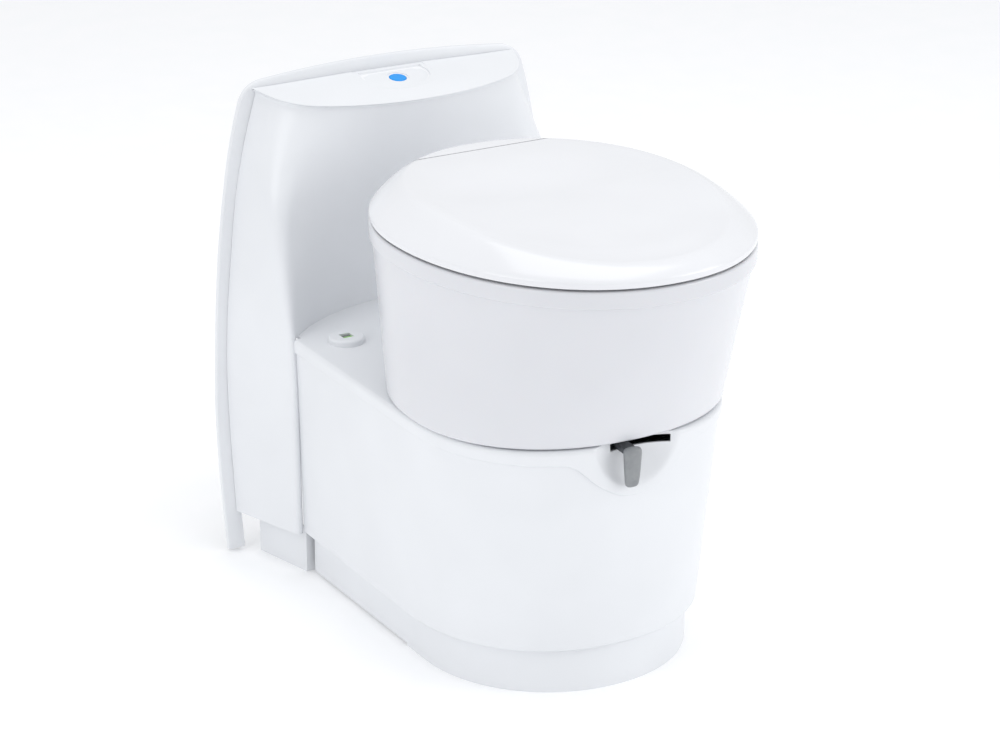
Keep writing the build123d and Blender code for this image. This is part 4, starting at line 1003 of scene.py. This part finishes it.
@dataclass
class LidAndSeat(SubAssembly):
    """Domed lid, the fixed cover behind it and the seat ring."""

    rim: Egg = Egg(189.2, -75.5, 231.0, 207.3, 2.09)
    low: float = 477.5
    wall: float = 3.0
    line: float = 77.3
    gap: float = 1.5
    sweep_r: float = 20.3
    crest: float = 512.8
    front_drop: float = 16.5
    dish: float = 7.0
    hinge_y: float = 63.0
    hinge_z: float = 500.0
    barrel_r: float = 12.5
    ear_r: float = 8.0
    seat_rear: float = 45.0

    def crest_inset(self, angle: float) -> float:
        """Distance from the rim's outline in to the lid's crest."""
        side = math.sin(angle) ** 2
        return 18 + 14 * side if math.cos(angle) > 0 else 24 + 8 * side

    def crest_height(self, angle: float) -> float:
        """Height of the crest, lower towards the front."""
        return self.crest - self.front_drop * max(0.0, math.cos(angle)) ** 1.5

    def top_point(self, angle: float, share: float) -> Point:
        """Point on the dished top, share of the way out to the crest."""
        x, y = self.rim.at(angle, self.crest_inset(angle))
        x, y = x * share, self.rim.centre + (y - self.rim.centre) * share
        fade = 1.0 - smoothstep(-60.0, 66.0, y)
        front = self.front_drop * max(0.0, math.cos(angle)) ** 1.5 * share ** 2
        z = self.crest - front - self.dish * (1 - share ** 2) * fade
        return (x, y, z)

    def skin(self, bottom: float) -> bmesh.types.BMesh:
        """Outer skin of the lid and cover together, open underneath."""
        count = 200
        angles = [2 * math.pi * i / count for i in range(count)]
        rings: list[Ring] = []
        for height, inset in ((bottom, 1.0), (bottom + 0.8, 0.25), (bottom + 2.0, 0.0), (bottom + 5.5, 0.2)):
            rings.append([(*self.rim.at(a, inset), height) for a in angles])
        steps = 18
        for k in range(1, steps + 1):
            t = k / steps
            ring = []
            for a in angles:
                start, end = Vector((0.2, bottom + 5.5)), Vector((self.crest_inset(a) + 7, self.crest_height(a) - 0.05))
                knee_low = Vector((0.5, bottom + 9.5))
                slope = end - start
                lift = Vector((self.crest_inset(a) - 3.5, self.crest_height(a) + 0.2))
                p = (start * (1 - t) ** 3 + knee_low * 3 * t * (1 - t) ** 2
                     + lift * 3 * t * t * (1 - t) + end * t ** 3)
                del slope
                x, y = self.rim.at(a, p.x)
                ring.append((x, y, p.y))
            rings.append(ring)
        edge = rings[-1]
        inner_steps = 22
        for k in range(1, inner_steps):
            share = 1 - k / inner_steps
            ring = []
            for i, a in enumerate(angles):
                x, y, z = self.top_point(a, share * 0.96)
                blend = smoothstep(0, 3, k)
                ex = edge[i]
                tx = ex[0] * share
                ty = self.rim.centre + (ex[1] - self.rim.centre) * share
                ring.append((tx, ty, z * blend + (ex[2] * (1 - blend))))
                del x, y
            rings.append(ring)
        bm = bmesh.new()
        rows = skin_rings(bm, rings)
        centre = bm.verts.new((0, self.rim.centre, self.crest - self.dish))
        for i in range(count):
            bm.faces.new((rows[-1][i], rows[-1][(i + 1) % count], centre))
        return bm

    def build_half(self, half: Half) -> None:
        """Cut the skin along the hinge line and give it its wall."""
        is_lid = half is Half.LID
        bm = self.skin(self.low if is_lid else self.low - 2.0)
        reach = self.line if is_lid else self.line + self.gap
        knee = (0.0, reach, self.hinge_z - 13.0)
        planes = [((0.0, reach, 0.0), (0.0, 1.0, 0.0)), (knee, (0.0, 1.0, -1.505))]
        for place, normal in planes:
            bmesh.ops.bisect_plane(bm, geom=[*bm.verts, *bm.edges, *bm.faces], dist=0.001,
                                   plane_co=place, plane_no=normal, clear_outer=is_lid)
        if not is_lid:
            front = [f for f in bm.faces if self.is_in_front(f.calc_center_median(), reach)]
            bmesh.ops.delete(bm, geom=front, context="FACES")
        piece = thicken(new_object(f"{half.value}_moulding", bm), self.wall)
        if is_lid:
            self.add(keep_creases(piece, 45), "lid", "white_lid", ["lid_shell"])
            return
        sweep = self.drum("sweep", [(-230.0, self.sweep_r), (230.0, self.sweep_r)])
        cut = piece.modifiers.new("sweep", "BOOLEAN")
        cut.operation, cut.solver, cut.object = "DIFFERENCE", "EXACT", sweep
        apply_modifiers(piece)
        bpy.data.objects.remove(sweep)
        self.add(keep_creases(piece, 45), "bowl", "white_lid", ["hinge_cover"])

    def is_in_front(self, place: Vector, reach: float) -> bool:
        """Whether a point lies on the lid's side of the stepped hinge line."""
        knee = self.hinge_z - 13.0
        if place.z >= knee:
            return place.y < reach
        return place.y < max(self.hinge_y + self.gap, reach - 1.505 * (knee - place.z))

    def drum(self, name: str, profile: Sequence[tuple[float, float]]) -> bpy.types.Object:
        """Closed turned piece round the hinge axis, from its places along X and radii."""
        bm = bmesh.new()
        rings = [[(x, self.hinge_y + r * math.sin(2 * math.pi * i / 72),
                   self.hinge_z + r * math.cos(2 * math.pi * i / 72)) for i in range(72)]
                 for x, r in profile]
        rows = skin_rings(bm, rings)
        bm.faces.new(rows[0])
        bm.faces.new(list(reversed(rows[-1])))
        return new_object(name, bm)

    def build_barrels(self) -> None:
        """Two hinge barrels under the lid's rear edge, each with its web."""
        for side, word in ((-1, "left"), (1, "right")):
            bm = bmesh.new()
            outer = self.barrel_r
            rings = []
            for x, r in ((49.0, 4.1), (49.0, outer - 0.8), (49.6, outer - 0.15), (75.4, outer - 0.15),
                         (76.0, outer - 0.8), (76.0, 4.1)):
                rings.append([(side * x, self.hinge_y + r * math.sin(2 * math.pi * i / 64),
                               self.hinge_z + r * math.cos(2 * math.pi * i / 64)) for i in range(64)])
            skin_rings(bm, rings, wrap=True)
            web = [(side * 49.2, self.hinge_y + y, self.hinge_z + z)
                   for y, z in ((-8.0, 6.0), (-8.0, 11.2), (0.0, 11.6), (0.0, 9.0))]
            prism(bm, web, (side * 26.6, 0, 0))
            piece = new_object(f"lid_hinge_barrel_{word}", bm)
            self.add(keep_creases(piece, 35), "lid", "white_lid")

    def build_seat(self) -> None:
        """Rounded seat ring with its two hinge ears."""
        outer = self.rim
        hole = Egg(105.0, -95.0, 140.0, 112.0)
        low, high = 478.5, 490.5
        rings = [outer.ring(low, 13.0), outer.ring(low + 0.6, 11.6), outer.ring(low + 2.0, 11.0),
                 outer.ring(high - 6, 11.4), outer.ring(high - 2.6, 13.4), outer.ring(high - 0.8, 17.0),
                 outer.ring(high, 23.0)]
        rings += [hole.ring(high, -16.0), hole.ring(high - 0.8, -9.0), hole.ring(high - 2.6, -4.0),
                  hole.ring(high - 5.5, -1.0), hole.ring(low + 2.0, 0.0), hole.ring(low + 0.5, -0.6),
                  hole.ring(low, -2.0)]
        bm = bmesh.new()
        skin_rings(bm, rings, wrap=True)
        cut_away(bm, self.seat_rear, True, True)
        back = self.seat_rear - 18
        for side in (-1, 1):
            profile = [(back, high - 8), (self.hinge_y - 2, high - 8), (self.hinge_y - 2, 492.4)]
            arc = [math.radians(-70 + 250 * i / 20) for i in range(21)]
            profile += [(self.hinge_y + self.ear_r * math.cos(a), self.hinge_z + self.ear_r * math.sin(a))
                        for a in arc]
            profile += [(self.hinge_y - 12, high + 4), (self.seat_rear + 1, high), (back, high)]
            start = 29.0 if side > 0 else -46.0
            prism(bm, [(start, y, z) for y, z in profile], (17.0, 0, 0))
        piece = new_object("seat_ring_moulding", bm)
        self.add(keep_creases(piece, 38), "seat", "white_lid", ["seat_ring"])

    def build(self) -> None:
        """Make lid, cover, barrels and seat."""
        self.build_half(Half.LID)
        self.build_half(Half.COVER)
        self.build_barrels()
        self.build_seat()


# ---------------------------------------------------------------- valve handle
@dataclass
class ValveHandle(SubAssembly):
    """Tapered grey finger handle in front of the dish."""

    swivel_y: float = -78.5
    rest: float = -4.0
    top: float = 283.0
    low: float = 240.0

    def build(self) -> None:
        """Loft the handle from rounded rectangles and dome both ends."""
        bm = bmesh.new()
        levels = ((self.low, 3.4, 1.6), (self.low + 0.8, 5.6, 2.8), (self.low + 2.2, 6.9, 3.5),
                  (self.low + 4.5, 7.7, 4.0), (self.low + 12, 8.4, 4.5), (262.0, 9.1, 5.2),
                  (self.top - 6, 9.9, 5.7), (self.top - 3, 9.7, 5.5), (self.top - 1, 8.6, 4.7),
                  (self.top, 6.2, 3.0))
        rings = []
        for z, half, deep in levels:
            middle = -164.3 + (0.5 if z < 250 else 0.0)
            ring = []
            for i in range(56):
                a = 2 * math.pi * i / 56
                x, y = half * power_of(math.cos(a), 0.66), middle + deep * power_of(math.sin(a), 0.80)
                ring.append(self.turned(x, y, z))
            rings.append(ring)
        rows = skin_rings(bm, rings)
        bm.faces.new(rows[0])
        bm.faces.new(list(reversed(rows[-1])))
        piece = new_object("valve_handle_grip", bm)
        self.add(keep_creases(piece, 50), "handle", "handle_grey", ["blade_handle"])

    def turned(self, x: float, y: float, z: float) -> Point:
        """Turn a point to the handle's rest angle about the swivel axis."""
        c, s = math.cos(math.radians(self.rest)), math.sin(math.radians(self.rest))
        return (x * c - y * s, self.swivel_y + x * s + y * c, z)


# ---------------------------------------------------------------- level indicator
@dataclass
class LevelIndicator(SubAssembly):
    """Card on the gauge disc, a green half in front and a dark half behind, close under the window."""

    x: float = -121.0
    y: float = 169.0
    radius: float = 14.4
    height: float = 290.2
    thick: float = 0.4
    colours: tuple[tuple[str, float, str], ...] = (
        ("gauge_card_green_half", -1.0, "gauge_dial"), ("gauge_card_dark_half", 1.0, "black_plastic"))

    def build(self) -> None:
        """Two half discs side by side."""
        for name, side, slot in self.colours:
            bm = bmesh.new()
            steps = [math.pi * i / 36 for i in range(37)]
            shift = 2.0
            outline = [(self.x + self.radius * math.cos(a),
                        self.y + shift + side * (self.radius - side * shift) * math.sin(a), self.height)
                       for a in steps]
            prism(bm, outline, (0.0, 0.0, self.thick))
            self.add(keep_creases(new_object(name, bm), 30), "dial", slot)


# ---------------------------------------------------------------- CAD nodes
@dataclass
class CarriedNodes(SubAssembly):
    """Pieces whose CAD shape is kept and only dressed."""

    def build(self, frame: dict[str, Any]) -> None:
        """Dress every CAD node from its material slot.
        """
        slots = {row["node"]: row["material_slot"] for row in frame["record"]["subparts"]}
        for name, node in frame["nodes"].items():
            self.wardrobe.dress(node, SLOT_STUFF[slots[name]])
            self.pieces.append(node)


# ---------------------------------------------------------------- studio
@dataclass
class Studio:
    """Pale floor, soft light and the camera."""

    eye: Point = (-1560.5, -2587.2, 1441.8)
    target: Point = (-63.1, -65.7, 313.0)
    roll: float = 0.194
    lens: float = 108.0

    def build(self) -> None:
        """Set up the floor, the world, the lamps and the camera."""
        self.floor()
        self.world()
        self.lamp("left", (-2.6, -0.6, 1.7), (0, 0, 0.3), 1.6, 13.0)
        self.lamp("right", (2.3, -2.2, 1.6), (0, 0, 0.3), 1.8, 24.0)
        self.lamp("top", (0.1, 0.1, 3.0), (0, 0, 0.3), 2.2, 21.0)
        self.camera()

    def floor(self) -> None:
        """Wide pale floor with a faint paper grain."""
        bm = bmesh.new()
        bmesh.ops.create_grid(bm, x_segments=8, y_segments=8, size=30000.0)
        floor = new_object("studio_floor", bm)
        paper = Finish("matt_white_paper", "#FCFCFD", "#FAFBFC", 0.85, grain_mm=1.5, grain_depth=0.01,
                       glow=0.12)
        floor.data.materials.append(paper.build())

    def world(self) -> None:
        """Even pale surroundings."""
        world = bpy.data.worlds.new("studio")
        world.use_nodes = True
        background = world.node_tree.nodes["Background"]
        background.inputs["Color"].default_value = linear_colour("#FCFDFF")
        background.inputs["Strength"].default_value = 0.76
        bpy.context.scene.world = world

    def lamp(self, name: str, place: Point, aim: Point, size: float, power: float) -> None:
        """Square soft box pointed at a place, in metres and watts."""
        data = bpy.data.lights.new(name, "AREA")
        data.energy = power
        data.size = size
        lamp = bpy.data.objects.new(name, data)
        lamp.location = place
        lamp.rotation_euler = (Vector(aim) - Vector(place)).to_track_quat("-Z", "Y").to_euler()
        bpy.context.scene.collection.objects.link(lamp)

    def camera(self) -> None:
        """Long lens, level but for a fifth of a degree."""
        data = bpy.data.cameras.new("camera")
        data.lens = self.lens
        data.sensor_width = 36.0
        data.clip_end = 100.0
        camera = bpy.data.objects.new("camera", data)
        look = Vector(self.target) - Vector(self.eye)
        turn = look.to_track_quat("-Z", "Y").to_matrix()
        lean = math.radians(self.roll)
        right = turn.col[0] * math.cos(lean) + turn.col[1] * math.sin(lean)
        back = turn.col[2].copy()
        up = back.cross(right)
        for i, axis in enumerate((right, up, back)):
            turn.col[i] = axis
        camera.location = Vector(self.eye) * MM
        camera.rotation_euler = turn.to_euler()
        bpy.context.scene.collection.objects.link(camera)
        bpy.context.scene.camera = camera


def main() -> None:
    """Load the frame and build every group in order."""
    logging.basicConfig(level=logging.INFO, format="%(name)s: %(message)s")
    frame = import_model()
    wardrobe = Wardrobe()
    Studio().build()
    nodes = CarriedNodes(wardrobe)
    nodes.build(frame)
    groups: list[SubAssembly] = [BaseHousing(wardrobe), Console(wardrobe), Bowl(wardrobe),
                                 LidAndSeat(wardrobe), ValveHandle(wardrobe),
                                 LevelIndicator(wardrobe)]
    for group in groups:
        group.build()
        for piece in group.pieces:
            LOG.info("%s made with %d faces", piece.name, len(piece.data.polygons))
    bpy.context.scene.view_settings.view_transform = "Standard"


if __name__ == "__main__":
    main()
